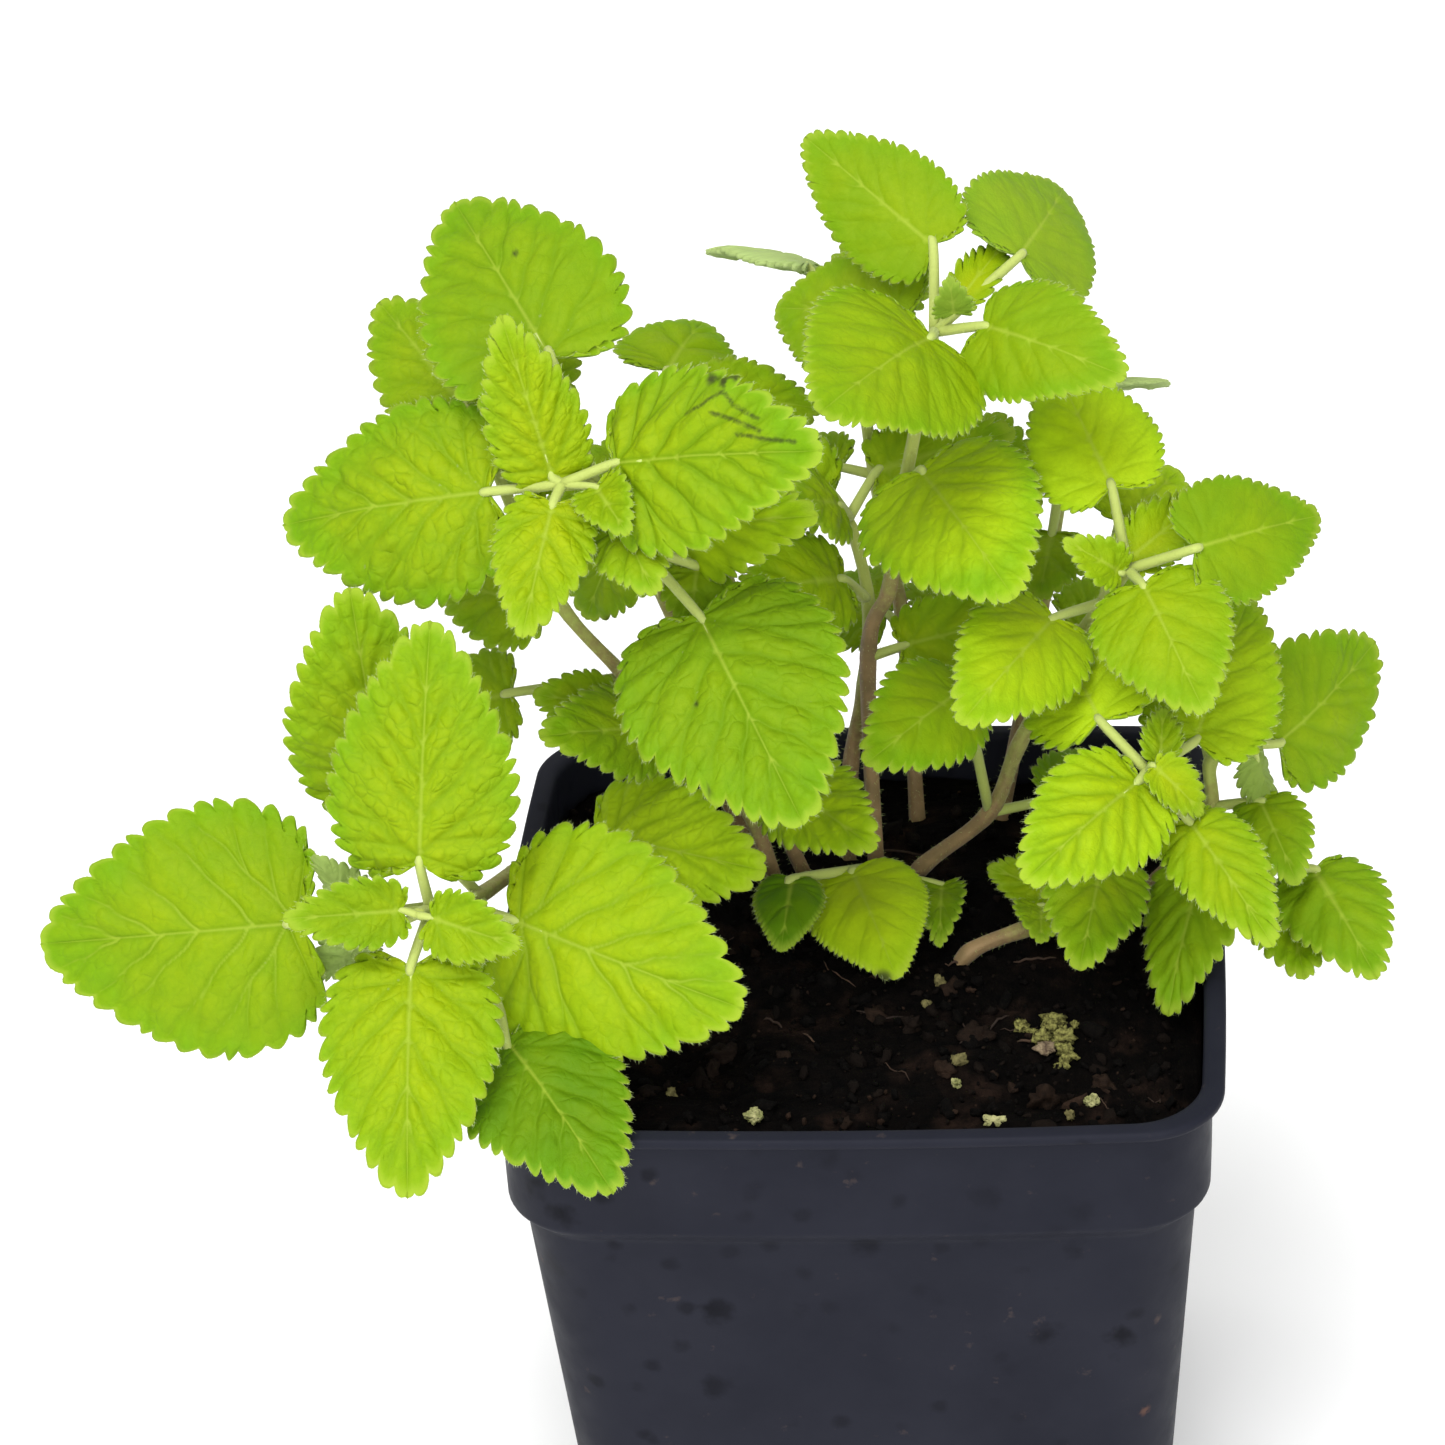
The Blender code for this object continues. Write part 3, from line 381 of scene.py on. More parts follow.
    "rear_left": ((-90, 50), [(-8, 29, 79), (-14, 34, 105), (-20, 37, 128), (-24, 38, 143)], [
        leaf("top", 3, (85, 40, 4.5), (75, -3, 14), 16.5, tint=0.7, quilt=0.12, gold=0.3),
        leaf("right", 3, (0, 5, 5), (20, -18, 16), 12),
        leaf("left", 2, (150, 10, 6), (160, -5, 18), 14),
        leaf("back", 2, (90, 10, 6), (105, -10, 19), 15),
        leaf("low", 1, (140, 0, 5), (150, -20, 17), 13),
    ]),
    "rear_centre": ((-90, 50), [(6, 32, 79), (5, 38, 108), (2, 41, 130), (0, 43, 150)], [
        leaf("left", 3, (124, 24, 11.5), (150, -6, 15.5), 11, 66, haze=0.75, tint=1.0, quilt=0.03,
             pillow=0.12, gold=0.0, thick=1.25, teeth=0.7),
        leaf("back", 3, (70, 15, 5), (80, 5, 18), 14),
        leaf("low_right", 1, (20, 20, 6), (76, 0, 15), 12),
        leaf("low_left", 2, (160, 5, 5), (140, -15, 12), 10),
        leaf("lowest", 1, (120, 5, 5), (130, -15, 17), 13),
    ]),
    "rear_right": ((-90, 50), [(16, 30, 79), (22, 38, 106), (26, 43, 128), (27, 45, 138)], [
        leaf("edge", 3, (30, 10, 4), (36, -18, 12), 10, -72, haze=0.7, tint=1.0, quilt=0.03, pillow=0.12,
             gold=0.0, thick=0.8, teeth=0.7),
        leaf("front", 2, (-141, -4, 14), (81, 20, 18), 15),
        leaf("back", 3, (95, 10, 5), (95, 0, 17), 14),
        leaf("low", 1, (30, 5, 6), (35, -10, 18), 14),
        leaf("low_back", 1, (120, 5, 6), (110, -15, 17), 13),
        leaf("shaded", 2, (-103, -35, 8), (-97, -10, 13), 11),
    ]),
}


def unit(vector):
    return vector / np.linalg.norm(vector)


def sizes_of(rows):
    return np.linalg.norm(rows, axis=1)


def units(rows):
    return rows / sizes_of(rows)[:, None]


def reach_along(run):
    """How far along a run of points each one lies."""
    return np.concatenate([[0.0], np.cumsum(sizes_of(np.diff(run, axis=0)))])


def picked_along(goal, reach, run):
    """Places at the given reaches along a run of points."""
    return np.stack([np.interp(goal, reach, column) for column in run.T], -1)


def pulled_curve(a, b, c, count):
    """Points on the curve from a to c that b pulls towards itself."""
    return [(1 - t) ** 2 * a + 2 * t * (1 - t) * b + t * t * c for t in np.linspace(0, 1, count)]


def smooth_curve(points, steps):
    """A curve through all the points, with even steps in each span."""
    points = [np.array(p, float) for p in points]
    padded = [2 * points[0] - points[1]] + points + [2 * points[-1] - points[-2]]
    curve = []
    for i in range(len(points) - 1):
        a, b, c, d = padded[i:i + 4]
        for step in range(steps):
            t = step / steps
            curve.append(0.5 * (2 * b + (c - a) * t + (2 * a - 5 * b + 4 * c - d) * t ** 2
                                + (3 * b - a - 3 * c + d) * t ** 3))
    curve.append(points[-1])
    return curve


def smooth_step(value):
    value = np.clip(value, 0.0, 1.0)
    return value * value * (3.0 - 2.0 * value)


def hashed(cells, seed):
    """A steady pseudo-random pair from 0 to 1 for each cell."""
    dots = np.stack([cells @ (127.1, 311.7), cells @ (269.5, 183.3)], -1) + seed * 17.31
    return np.modf(np.abs(np.sin(dots) * 43758.5453))[0]


def cell_walls(points, size, seed):
    """Difference of the two nearest cell centres' distances: 0 on the walls between cells."""
    spots = points / size
    home = np.floor(spots)
    nearest = np.full(len(points), 9.0)
    second = np.full(len(points), 9.0)
    for dx in (-1, 0, 1):
        for dy in (-1, 0, 1):
            cell = home + (dx, dy)
            far = sizes_of(cell + 0.5 + (hashed(cell, seed) - 0.5) * 0.85 - spots)
            second = np.minimum(second, np.maximum(nearest, far))
            nearest = np.minimum(nearest, far)
    return second - nearest


def value_noise(points, size, seed):
    """Smooth noise from -1 to 1 over the plane."""
    spots = points / size
    home = np.floor(spots)
    part = smooth_step(spots - home)
    total = np.zeros(len(points))
    for dx in (0, 1):
        for dy in (0, 1):
            value = hashed(home + (dx, dy), seed)[:, 0]
            share_x = part[:, 0] if dx else 1.0 - part[:, 0]
            share_y = part[:, 1] if dy else 1.0 - part[:, 1]
            total += value * share_x * share_y
    return total * 2.0 - 1.0


def towards(heading, rise):
    h = math.radians(heading)
    r = math.radians(rise)
    return np.array([math.cos(h) * math.cos(r), math.sin(h) * math.cos(r), math.sin(r)])


def placed_blade(face, stem, stem_point, petiole, way, width, roll, phase):
    """A blade with its directions: along it, across it and out of its upper face."""
    root = np.array(stem[stem_point], float)
    base = root + towards(petiole[0], petiole[1]) * petiole[2]
    along = towards(way[0], way[1])
    face = towards(*face)
    level = unit(face - along * np.dot(face, along))
    angle = math.radians(roll)
    out = level * math.cos(angle) + np.cross(along, level) * math.sin(angle)
    height = stem_point / (len(stem) - 1)
    return Blade(root, base, along, np.cross(along, out), out, way[2], width, phase, height)


def surface_height(blade, along, across):
    """How far the blade stands off its flat frame."""
    t = along / blade.length
    w = 2.0 * across / blade.width
    arch = ARCH * blade.length * 4.0 * t * (1.0 - t)
    cup = YOUNG_CUP * blade.width * w * w if blade.width < YOUNG_WIDTH else -CUP * blade.width * w * w
    wave = WAVE * blade.width * w * np.sin(WAVE_TURN * t + blade.phase + w)
    return arch + cup + wave


def edge_curve(blade):
    """The smooth edge of one half blade, from the notch at its base to the tip."""
    phi = np.linspace(0.0, math.pi, EDGE_SAMPLES)
    place = phi / LOBE_PLACE
    lobe = LOBE * blade.length * place * np.exp(0.5 - 0.5 * place ** 2)
    swell = np.clip(np.sin(phi), 0.0, None) ** EDGE_POWER * (1.0 + EDGE_SKEW * np.cos(phi))
    return phi, np.stack([0.5 * blade.length * (1.0 - np.cos(phi)) - lobe,
                          0.5 * blade.width * swell / EDGE_PEAK], -1)


def tooth_rows(blade, steps, fine, rng):
    """Half edge places for each grid row and, for both halves, the shift and tilt that cut the teeth."""
    phi, edge = edge_curve(blade)
    reach = reach_along(edge)
    pitch = (TOOTH_PITCH_BASE + TOOTH_PITCH_GROWTH * blade.length) * fine
    teeth = max(4, round(reach[-1] / pitch))
    spots = np.arange(1, teeth * steps) / steps
    warp = 0.18 * np.sin(spots * 1.7 + rng.uniform(0, 6)) + 0.08 * np.sin(spots * 3.1 + rng.uniform(0, 6))
    ends = np.clip(np.minimum(spots, teeth - spots), 0.0, 1.0)
    goal = (spots + warp * ends) * reach[-1] / teeth
    places = picked_along(goal, reach, edge)
    step = units(np.gradient(places, axis=0))
    outward = np.stack([-step[:, 1], step[:, 0]], -1)
    depth = TOOTH_HEIGHT * pitch
    bend = (0.25 + TOOTH_HEIGHT ** 2) / (2.0 * TOOTH_HEIGHT)
    fade = np.clip(spots / TEETH_FROM_BASE, 0.0, 1.0) * np.clip((teeth - spots) / TEETH_FROM_TIP, 0.25, 1.0)
    halves = []
    for shift in (0.0, 0.5):
        part, number = np.modf(spots + shift)
        number = number.astype(int)
        sizes = np.array([rng.uniform(*TOOTH_SIZES) for _ in range(teeth + 2)])[number]
        lifts = np.array([rng.uniform(-1.0, 1.0) for _ in range(teeth + 2)])[number]
        off_centre = part ** TOOTH_SKEW - 0.5
        arc = np.sqrt(bend ** 2 - off_centre ** 2) - (bend - TOOTH_HEIGHT)
        ridge = 1.0 - 2.0 * np.abs(off_centre)
        crest = (1.0 - TOOTH_POINT) * np.clip(arc / TOOTH_HEIGHT, 0.0, 1.0) + TOOTH_POINT * ridge
        amount = depth * sizes * fade
        push = outward * ((crest - TOOTH_MEAN) * amount)[:, None]
        push += step * (crest * TOOTH_LEAN * pitch * fade)[:, None]
        halves.append((push, lifts * crest * amount))
    return np.interp(goal, reach, phi), places, halves, depth


def flat_grid(blade, look, rng):
    """The blade's grid on its flat frame: along, across, distance from the edge and lift of the teeth."""
    steps, column_step = look["steps"]
    row_phi, edge, (left, right), depth = tooth_rows(blade, steps, look["teeth"], rng)
    rib = blade.length * (row_phi / math.pi) ** ROW_POWER
    share = np.linspace(0.0, 1.0, max(6, 2 * round(0.25 * blade.width / column_step)) + 1)
    a = rib[:, None] + (edge[:, 0] - rib)[:, None] * share
    a = a - ROW_BEND * blade.length * np.sin(row_phi)[:, None] * 4.0 * share * (1.0 - share)
    b = edge[:, 1][:, None] * share
    half_width = np.maximum(edge[:, 1], 0.05)
    zone = np.clip(2.4 * depth / half_width, 0.12, 0.75)[:, None]
    weight = smooth_step((share - 1.0 + zone) / zone)
    rim = (1.0 - share) * half_width[:, None]
    right, left = [(a + push[:, :1] * weight, sign * (b + push[:, 1:] * weight), rim,
                    tilt[:, None] * weight ** 2) for sign, (push, tilt) in ((-1.0, right), (1.0, left))]
    return [np.concatenate([r[:, :0:-1], l], axis=1) for r, l in zip(right, left)], depth


def vein_lines(blade, rng):
    """Side veins of one half blade as runs of points, with a strength for each."""
    phi, edge = edge_curve(blade)

    def at_edge(share):
        return picked_along(share * math.pi, phi, edge) * (1.0, VEIN_REACH)

    lines = []
    count = int(np.clip(round(blade.length / 6.0) + 1, 3, len(VEIN_STARTS)))
    for number, pick in enumerate(np.linspace(0, len(VEIN_STARTS) - 1, count)):
        start = np.interp(pick, VEIN_RANKS, VEIN_STARTS) + rng.uniform(-VEIN_SCATTER, VEIN_SCATTER)
        end = np.interp(pick, VEIN_RANKS, VEIN_ENDS) + rng.uniform(-VEIN_SCATTER, VEIN_SCATTER)
        a = np.array([max(start, 0.005) * blade.length, 0.0])
        c = at_edge(end)
        line = pulled_curve(a, a + (0.45, 0.55) * np.abs(c - a), c, VEIN_POINTS)
        bend = rng.uniform(0.0, math.tau)
        for k in range(1, VEIN_POINTS - 1):
            wander = VEIN_WANDER * blade.length * math.sin(k * 1.1 + bend)
            line[k] = line[k] + wander * np.array([0.8, -0.6])
        lines.append((np.array(line), 1.0))
        for share, back, strength in UPPER_FORKS if number else LOW_FORKS:
            root = line[int(share * (VEIN_POINTS - 1))]
            goal = at_edge(max(end - back, 0.05))
            pull = 0.5 * (root + goal) + np.array([0.06, 0.02]) * blade.length * share
            lines.append((np.array(pulled_curve(root, pull, goal, FORK_POINTS)), strength))
    return lines


def distance_to(line, points):
    """Distance of every point from a run of points, and how far along it the nearest place is."""
    best = np.full(len(points), 1e9)
    along = np.zeros(len(points))
    for i in range(len(line) - 1):
        a = line[i]
        way = line[i + 1] - a
        share = np.clip((points - a) @ way / max(way @ way, 1e-9), 0.0, 1.0)
        far = sizes_of(points - a - share[:, None] * way)
        nearer = far < best
        best[nearer] = far[nearer]
        along[nearer] = (i + share[nearer]) / (len(line) - 1)
    return best, along


def vein_marks(blade, points, rng):
    """How strongly the veins mark each point, and its distance from the nearest one."""
    rib_far = np.abs(points[:, 1])
    left = np.clip(1.0 - points[:, 0] / blade.length, 0.0, 1.0)
    rib_width = VEIN_HALF_WIDTH * (0.6 + 0.7 * left) * min(1.0, 0.4 + blade.length / 35.0)
    vein = np.exp(-(rib_far / rib_width) ** 2) * (0.35 + 0.65 * left ** 0.5)
    near = rib_far.copy()
    for sign in (1.0, -1.0):
        mask = points[:, 1] * sign >= -0.3
        own = points[mask] * (1.0, sign)
        for line, strength in vein_lines(blade, rng):
            far, way = distance_to(line, own)
            width_here = VEIN_HALF_WIDTH * (0.55 + 0.45 * strength) * (1.15 - 0.45 * way)
            mark = strength * (1.0 - 0.5 * way) * np.exp(-(far / width_here) ** 2)
            vein[mask] = np.maximum(vein[mask], mark)
            near[mask] = np.minimum(near[mask], far + (1.0 - strength) * 0.5 + way * 0.3)
    return vein, near


def shell_faces(rows, columns, low_columns):
    """Faces of an upper grid, a lower grid of every other column, their sides and the four end points."""
    low = rows * columns
    notch = low + rows * low_columns
    last = columns - 1
    low_last = low_columns - 1
    top = (rows - 1) * columns
    low_top = low + (rows - 1) * low_columns

    def quads(first, wide):
        i, j = np.meshgrid(np.arange(rows - 1), np.arange(wide - 1), indexing="ij")
        corner = first + (i * wide + j).ravel()
        return np.stack([corner, corner + 1, corner + wide + 1, corner + wide], -1)

    i = np.arange(rows - 1)
    here, low_here = i * columns, low + i * low_columns
    j = np.arange(last)
    low_j = np.arange(low_last)

    def fan(centre, first, second):
        return np.stack([np.full_like(first, centre), first, second], -1)

    fours = [quads(0, columns), quads(low, low_columns)[:, ::-1],
             np.stack([here, here + columns, low_here + low_columns, low_here], -1),
             np.stack([here + columns + last, here + last, low_here + low_last,
                       low_here + low_columns + low_last], -1),
             np.array([[notch, 0, low, notch + 2], [last, notch, notch + 2, low + low_last],
                       [top, notch + 1, notch + 3, low_top],
                       [notch + 1, top + last, low_top + low_last, notch + 3]])]
    threes = [fan(notch, j + 1, j), fan(notch + 1, top + j, top + j + 1),
              fan(notch + 2, low + low_j, low + low_j + 1),
              fan(notch + 3, low_top + low_j + 1, low_top + low_j)]
    return fours, threes


def make_blade(name, blade, look, material, rng):
    """The blade as a thin shell with veins, pillows and cut edges, and both runs of its margin."""
    (a, b, rim, lift), depth = flat_grid(blade, look, rng)
    rows, columns = a.shape
    low_columns = columns // 2 + 1
    length, width = blade.length, blade.width
    points = np.stack([a.ravel(), b.ravel()], -1)
    edge_far = rim.ravel()
    rib_far = np.abs(points[:, 1])
    reach = points[:, 0] / length
    vein, near = vein_marks(blade, points, rng)

    inside = smooth_step(edge_far / RELIEF_RIM)
    size = min(1.0, 0.45 + length / 40.0)
    pillow = 1.0 - np.exp(-(near / (PILLOW_REACH * size)) ** 2)
    pucker = (0.12 + 0.35 * look["quilt"]) * size * value_noise(points, PUCKER_SIZE, rng.randrange(99))
    relief = look["pillow"] * size * (pillow - 0.5) * inside
    relief += pucker * inside
    relief -= look["vein"] * vein * (0.3 + 0.7 * inside)
    middle = surface_height(blade, points[:, 0], points[:, 1])
    middle += BUCKLE * width * value_noise(points, BUCKLE_SIZE * width, rng.randrange(99))
    middle += lift.ravel() * look["tooth_lift"]
    thick = look["thick"] * (0.45 + 0.55 * smooth_step(edge_far / 0.5))

    def placed(flat, height):
        across = blade.base + flat[:, :1] * blade.along + flat[:, 1:] * blade.side
        return across + height[:, None] * blade.out

    upper = placed(points, middle + 0.5 * thick + relief)
    picked = np.arange(rows * columns).reshape(rows, columns)[:, ::2].ravel()
    under_relief = UNDER_RELIEF * relief - UNDER_VEIN * vein * inside
    lower = placed(points[picked], (middle - 0.5 * thick + under_relief)[picked])
    ends = np.array([[0.0, 0.0], [length + 0.15 * depth, 0.0]])
    end_height = surface_height(blade, ends[:, 0], ends[:, 1])
    end_height = np.concatenate([end_height + TIP_HALF_THICKNESS, end_height - TIP_HALF_THICKNESS])
    tips = placed(np.concatenate([ends, ends]), end_height)
    vertices = np.concatenate([upper, lower, tips])
    seed_shift = rng.uniform(0, 500)

    def spread(values, end_value=0.0):
        return np.concatenate([values, values[picked], np.full(4, end_value)])

    def shifted(pairs):
        return np.stack([spread(pairs[:, 0]) + seed_shift, spread(pairs[:, 1]), np.zeros(len(vertices))], -1)

    net = np.stack([CELL_TURN[0] * points[:, 0] + CELL_TURN[1] * rib_far,
                    CELL_TURN[1] * points[:, 0] - CELL_TURN[0] * rib_far], -1)
    half_width = 0.5 * width
    mark = np.zeros(len(points))
    for spot_a, spot_b, spot_size in look["spots"]:
        far = np.hypot(points[:, 0] - spot_a * length, points[:, 1] - spot_b * half_width)
        mark = np.maximum(mark, np.exp(-(far / spot_size) ** 4))
    scar = np.full(len(points), SCAR_FREE)
    for line in look["scars"]:
        scar = np.minimum(scar, distance_to(np.array(line) * (length, half_width), points)[0])
    # Painted shade: how much darker green the furrows beside the veins get, where the pillows dip.
    crease_shade = np.clip(np.exp(-(near / CREASE_SHADE_REACH) ** 2) * look["pillow"] * 1.7, 0.0, 1.0)
    core = np.exp(-(points[:, 1] / (CORE_REACH * width)) ** 2) * smooth_step(1.15 - reach)
    tip = smooth_step((reach - FRESH_TIP_FROM) / (1.0 - FRESH_TIP_FROM))
    fresh = np.clip(1.0 - smooth_step(edge_far / (FRESH_REACH * width)) + FRESH_TIP * tip, 0.0, 1.0)
    rib_share = np.exp(-(rib_far / RIB_REACH) ** 2)
    net_rise = 0.25 + 0.75 * smooth_step(near / NET_RISE)
    facts = {
        "vein": spread(vein * (rib_share + (1.0 - rib_share) * look["pale"]), 0.5),
        "crease_shade": spread(crease_shade * inside),
        "quilting": spread(look["quilt"] * (0.35 + 0.65 * inside) * net_rise),
        "mark": spread(mark),
        "scar": spread(scar, SCAR_FREE),
        "core": spread(core * look["gold"]),
        "rim": spread(fresh * look["fresh"], look["fresh"]),
        "margin": spread(np.exp(-(edge_far / MARGIN_REACH) ** 2), 1.0),
        "under": np.concatenate([np.zeros(len(upper)), np.ones(len(lower)), [0, 0, 1, 1]]),
        "place": shifted(points),
        "cells": shifted(net * CELL_SQUEEZE / look["cell"]),
        **{key: look[key] for key in ("tint", "aging", "haze")},
    }
    fours, threes = shell_faces(rows, columns, low_columns)
    piece = add_mesh(name, vertices, fours, threes, material, facts)
    sheet = upper.reshape(rows, columns, 3)
    return piece, [(sheet[:, 0], sheet[:, 0] - sheet[:, 2]), (sheet[:, -1], sheet[:, -1] - sheet[:, -3])]


def add_mesh(name, vertices, fours, threes, material, facts=None):
    """A smooth shaded mesh object from arrays in millimetres, with its facts as point attributes."""
    fours = np.concatenate([np.zeros((0, 4), int)] + list(fours))
    threes = np.concatenate([np.zeros((0, 3), int)] + list(threes))
    mesh = bpy.data.meshes.new(name)
    mesh.vertices.add(len(vertices))
    mesh.vertices.foreach_set("co", (np.asarray(vertices) * MM).astype(np.float32).ravel())
    corners = np.concatenate([fours.ravel(), threes.ravel()])
    mesh.loops.add(len(corners))
    mesh.loops.foreach_set("vertex_index", corners.astype(np.int32))
    mesh.polygons.add(len(fours) + len(threes))
    starts = np.concatenate([np.arange(len(fours)) * 4, len(fours) * 4 + np.arange(len(threes)) * 3])
    mesh.polygons.foreach_set("loop_start", starts.astype(np.int32))
    mesh.update(calc_edges=True)
    mesh.polygons.foreach_set("use_smooth", [True] * len(mesh.polygons))
    mesh.materials.append(material)
    for label, values in (facts or {}).items():
        values = np.asarray(values, np.float32)
        kind, key = ("FLOAT_VECTOR", "vector") if values.ndim == 2 else ("FLOAT", "value")
        values = np.full(len(vertices), values) if values.ndim == 0 else values
        mesh.attributes.new(label, kind, "POINT").data.foreach_set(key, values.ravel())
    mesh.validate()
    piece = bpy.data.objects.new(name, mesh)
    bpy.context.scene.collection.objects.link(piece)
    return piece


def skin(rings, start, end):
    """Faces over rings of equal count, closed at both ends by a fan round a point."""
    sides = len(rings[0])
    i, j = np.meshgrid(np.arange(len(rings) - 1), np.arange(sides), indexing="ij")
    here = (i * sides + j).ravel()
    onward = (i * sides + (j + 1) % sides).ravel()
    fours = np.stack([here, onward, onward + sides, here + sides], -1)
    j = np.arange(sides)
    after = (j + 1) % sides
    top = (len(rings) - 1) * sides
    hub = np.full(sides, top + sides)
    threes = np.concatenate([np.stack([hub, after, j], -1), np.stack([hub + 1, top + j, top + after], -1)])
    return np.concatenate([*rings, [start, end]]), fours, threes


def tube(path, radii, sides, square=0.0):
    """Points of a tube that turns with its path, its faces and the outward way of each ring point."""
    path = np.array(path, float)
    tangents = units(np.gradient(path, axis=0))
    across = unit(np.cross(tangents[0], (0.31, 0.95, 0.05)))
    angle = math.tau * np.arange(sides) / sides
    swell = 1.0 + square * np.cos(4.0 * angle)
    rings = []
    ways = []
    for centre, tangent, radius in zip(path, tangents, radii):
        across = unit(across - tangent * (tangent @ across))
        way = np.cos(angle)[:, None] * across + np.sin(angle)[:, None] * np.cross(tangent, across)
        rings.append(centre + radius * swell[:, None] * way)
        ways.append(way)
    return skin(rings, path[0], path[-1]), np.concatenate(ways)


class Heap:
    """Collects several shapes into one mesh."""

    def __init__(self):
        self.points, self.fours, self.threes, self.facts, self.count = [], [], [], {}, 0

    def add(self, points, fours, threes, **facts):
        self.points.append(points)
        for store, faces in ((self.fours, fours), (self.threes, threes)):
            if len(faces):
                store.append(np.asarray(faces) + self.count)
        for label, values in facts.items():
            values = np.full(len(points), values, float) if np.ndim(values) == 0 else values
            self.facts.setdefault(label, []).append(values)
        self.count += len(points)

    def make(self, name, material):
        facts = {label: np.concatenate(values) for label, values in self.facts.items()}
        return add_mesh(name, np.concatenate(self.points), self.fours, self.threes, material, facts)


def add_hairs(heap, roots, ways, lengths, rng_np):
    """One slender triangle for each hair."""
    ways = units(ways)
    half = units(np.cross(ways, rng_np.normal(size=ways.shape))) * (0.5 * HAIR_WIDTH)
    points = np.stack([roots - half, roots + half, roots + ways * lengths[:, None]], 1).reshape(-1, 3)
    heap.add(points, [], np.arange(len(points)).reshape(-1, 3))


def fuzz_tube(heap, points, ways, fours, per_mm2, length, lean, rng_np):
    """Hairs all over the side of a tube, which lean along it."""
    a, b, c, d = (points[fours[:, k]] for k in range(4))
    area = 0.5 * sizes_of(np.cross(c - a, d - b))
    face = np.repeat(np.arange(len(fours)), rng_np.poisson(area * per_mm2))
    u = rng_np.random(len(face))[:, None]
    v = rng_np.random(len(face))[:, None]
    roots = (a[face] * (1 - u) + b[face] * u) * (1 - v) + (d[face] * (1 - u) + c[face] * u) * v
    normal = ways[fours[face, 0]] + ways[fours[face, 1]]
    scatter = STEM_HAIR_SPREAD * rng_np.normal(size=normal.shape)
    lengths = length * rng_np.uniform(*STEM_HAIR_LENGTHS, len(face))
    way = normal * 0.5 + lean * units(d[face] - a[face]) + scatter
    add_hairs(heap, roots - normal * HAIR_ROOT_DEPTH, way, lengths, rng_np)


def fuzz_margin(heap, run, outward, rng_np):
    """Hairs along a blade's cut edge."""
    reach = reach_along(run)
    count = int(reach[-1] * MARGIN_HAIRS_PER_MM)
    goal = np.sort(rng_np.random(count)) * reach[-1]
    ways = picked_along(goal, reach, outward)
    ways /= sizes_of(ways)[:, None] + 1e-9
    ways = ways + MARGIN_HAIR_SPREAD * rng_np.normal(size=ways.shape)
    lengths = MARGIN_HAIR_LENGTH * rng_np.uniform(*MARGIN_HAIR_LENGTHS, count)
    add_hairs(heap, picked_along(goal, reach, run), ways, lengths, rng_np)


def make_stalks(name, stem, blades, material, hairs, rng_np):
    """The stem and petioles of one shoot as one piece, with the ribs under its blades."""
    heap = Heap()
    curve = smooth_curve(stem, STEM_SPAN_STEPS)
    count = len(curve)
    share = np.linspace(0.0, 1.0, count)
    radii = STEM_RADIUS + (STEM_TIP_RADIUS - STEM_RADIUS) * share
    for i in range(0, count, STEM_SPAN_STEPS):
        radii = radii * (1.0 + NODE_SWELL * np.exp(-((np.arange(count) - i) / NODE_SPREAD) ** 2))
    radii[-1] *= STEM_END
    (points, fours, threes), ways = tube(curve, radii, STEM_SIDES, STEM_SQUARENESS)
    heights = np.concatenate([np.repeat(share, STEM_SIDES), [0.0, 1.0]])
    heap.add(points, fours, threes, age=STEM_AGE * (1.0 - heights), petiole=0.0)
    fuzz_tube(hairs, points, ways, fours, STEM_HAIRS_PER_MM2, STEM_HAIR_LENGTH, STEM_HAIR_LEAN, rng_np)
    for blade in blades:
        radius = PETIOLE_RADIUS if blade.width >= YOUNG_WIDTH else YOUNG_PETIOLE_RADIUS
        ends = []
        for part, size in zip(RIB_STOPS, PETIOLE_TAPER[2:]):
            r = part * PETIOLE_REACH
            height = float(surface_height(blade, r * blade.length, 0.0)) - (RIB_DEPTH + size * radius)
            ends.append(blade.base + blade.along * r * blade.length + blade.out * height)
        throat = blade.base - blade.out * 0.3 - blade.along * 0.25
        path = smooth_curve([blade.root, throat] + ends, PETIOLE_SPAN_STEPS)
        stops = np.arange(len(PETIOLE_TAPER)) * PETIOLE_SPAN_STEPS
        radii = np.interp(np.arange(len(path)), stops, np.array(PETIOLE_TAPER) * radius)
        (points, fours, threes), ways = tube(path, radii, PETIOLE_SIDES)
        way = np.concatenate([np.repeat(np.linspace(0, 1, len(path)), PETIOLE_SIDES), [0.0, 1.0]])
        age = (1.0 - blade.height) * PETIOLE_AGE * (1.0 - way)
        heap.add(points, fours, threes, age=age, petiole=0.25 + 0.75 * way)
        bare = fours[: PETIOLE_SPAN_STEPS * 2 * PETIOLE_SIDES]
        fuzz_tube(hairs, points, ways, bare, STEM_HAIRS_PER_MM2 * PETIOLE_HAIR_SHARE,
                  STEM_HAIR_LENGTH * PETIOLE_HAIR_SIZE, 0.0, rng_np)
    return heap.make(name, material)


def square_loop(half, z, inset=0.0):
    """A rounded square with slightly bowed sides, counter-clockwise from above."""
    radius = CORNER_RADIUS - inset
    centre = half - radius
    side = []
    for step in range(CORNER_STEPS + 1):
        angle = math.radians(90.0 * step / CORNER_STEPS)
        side.append((centre + radius * math.cos(angle), centre + radius * math.sin(angle)))
    for step in range(1, SIDE_STEPS):
        share = step / SIDE_STEPS
        side.append((centre - 2.0 * centre * share, half + SIDE_BOW * 4.0 * share * (1.0 - share)))
    loop = []
    for turn in (math.radians(90.0 * quarter) for quarter in range(4)):
        loop += [(x * math.cos(turn) - y * math.sin(turn), x * math.sin(turn) + y * math.cos(turn), z)
                 for x, y in side]
    return np.array(loop)


def loft(loops):
    """Skins loops of equal count, closed at both ends."""
    return skin(loops, loops[0].mean(0), loops[-1].mean(0))


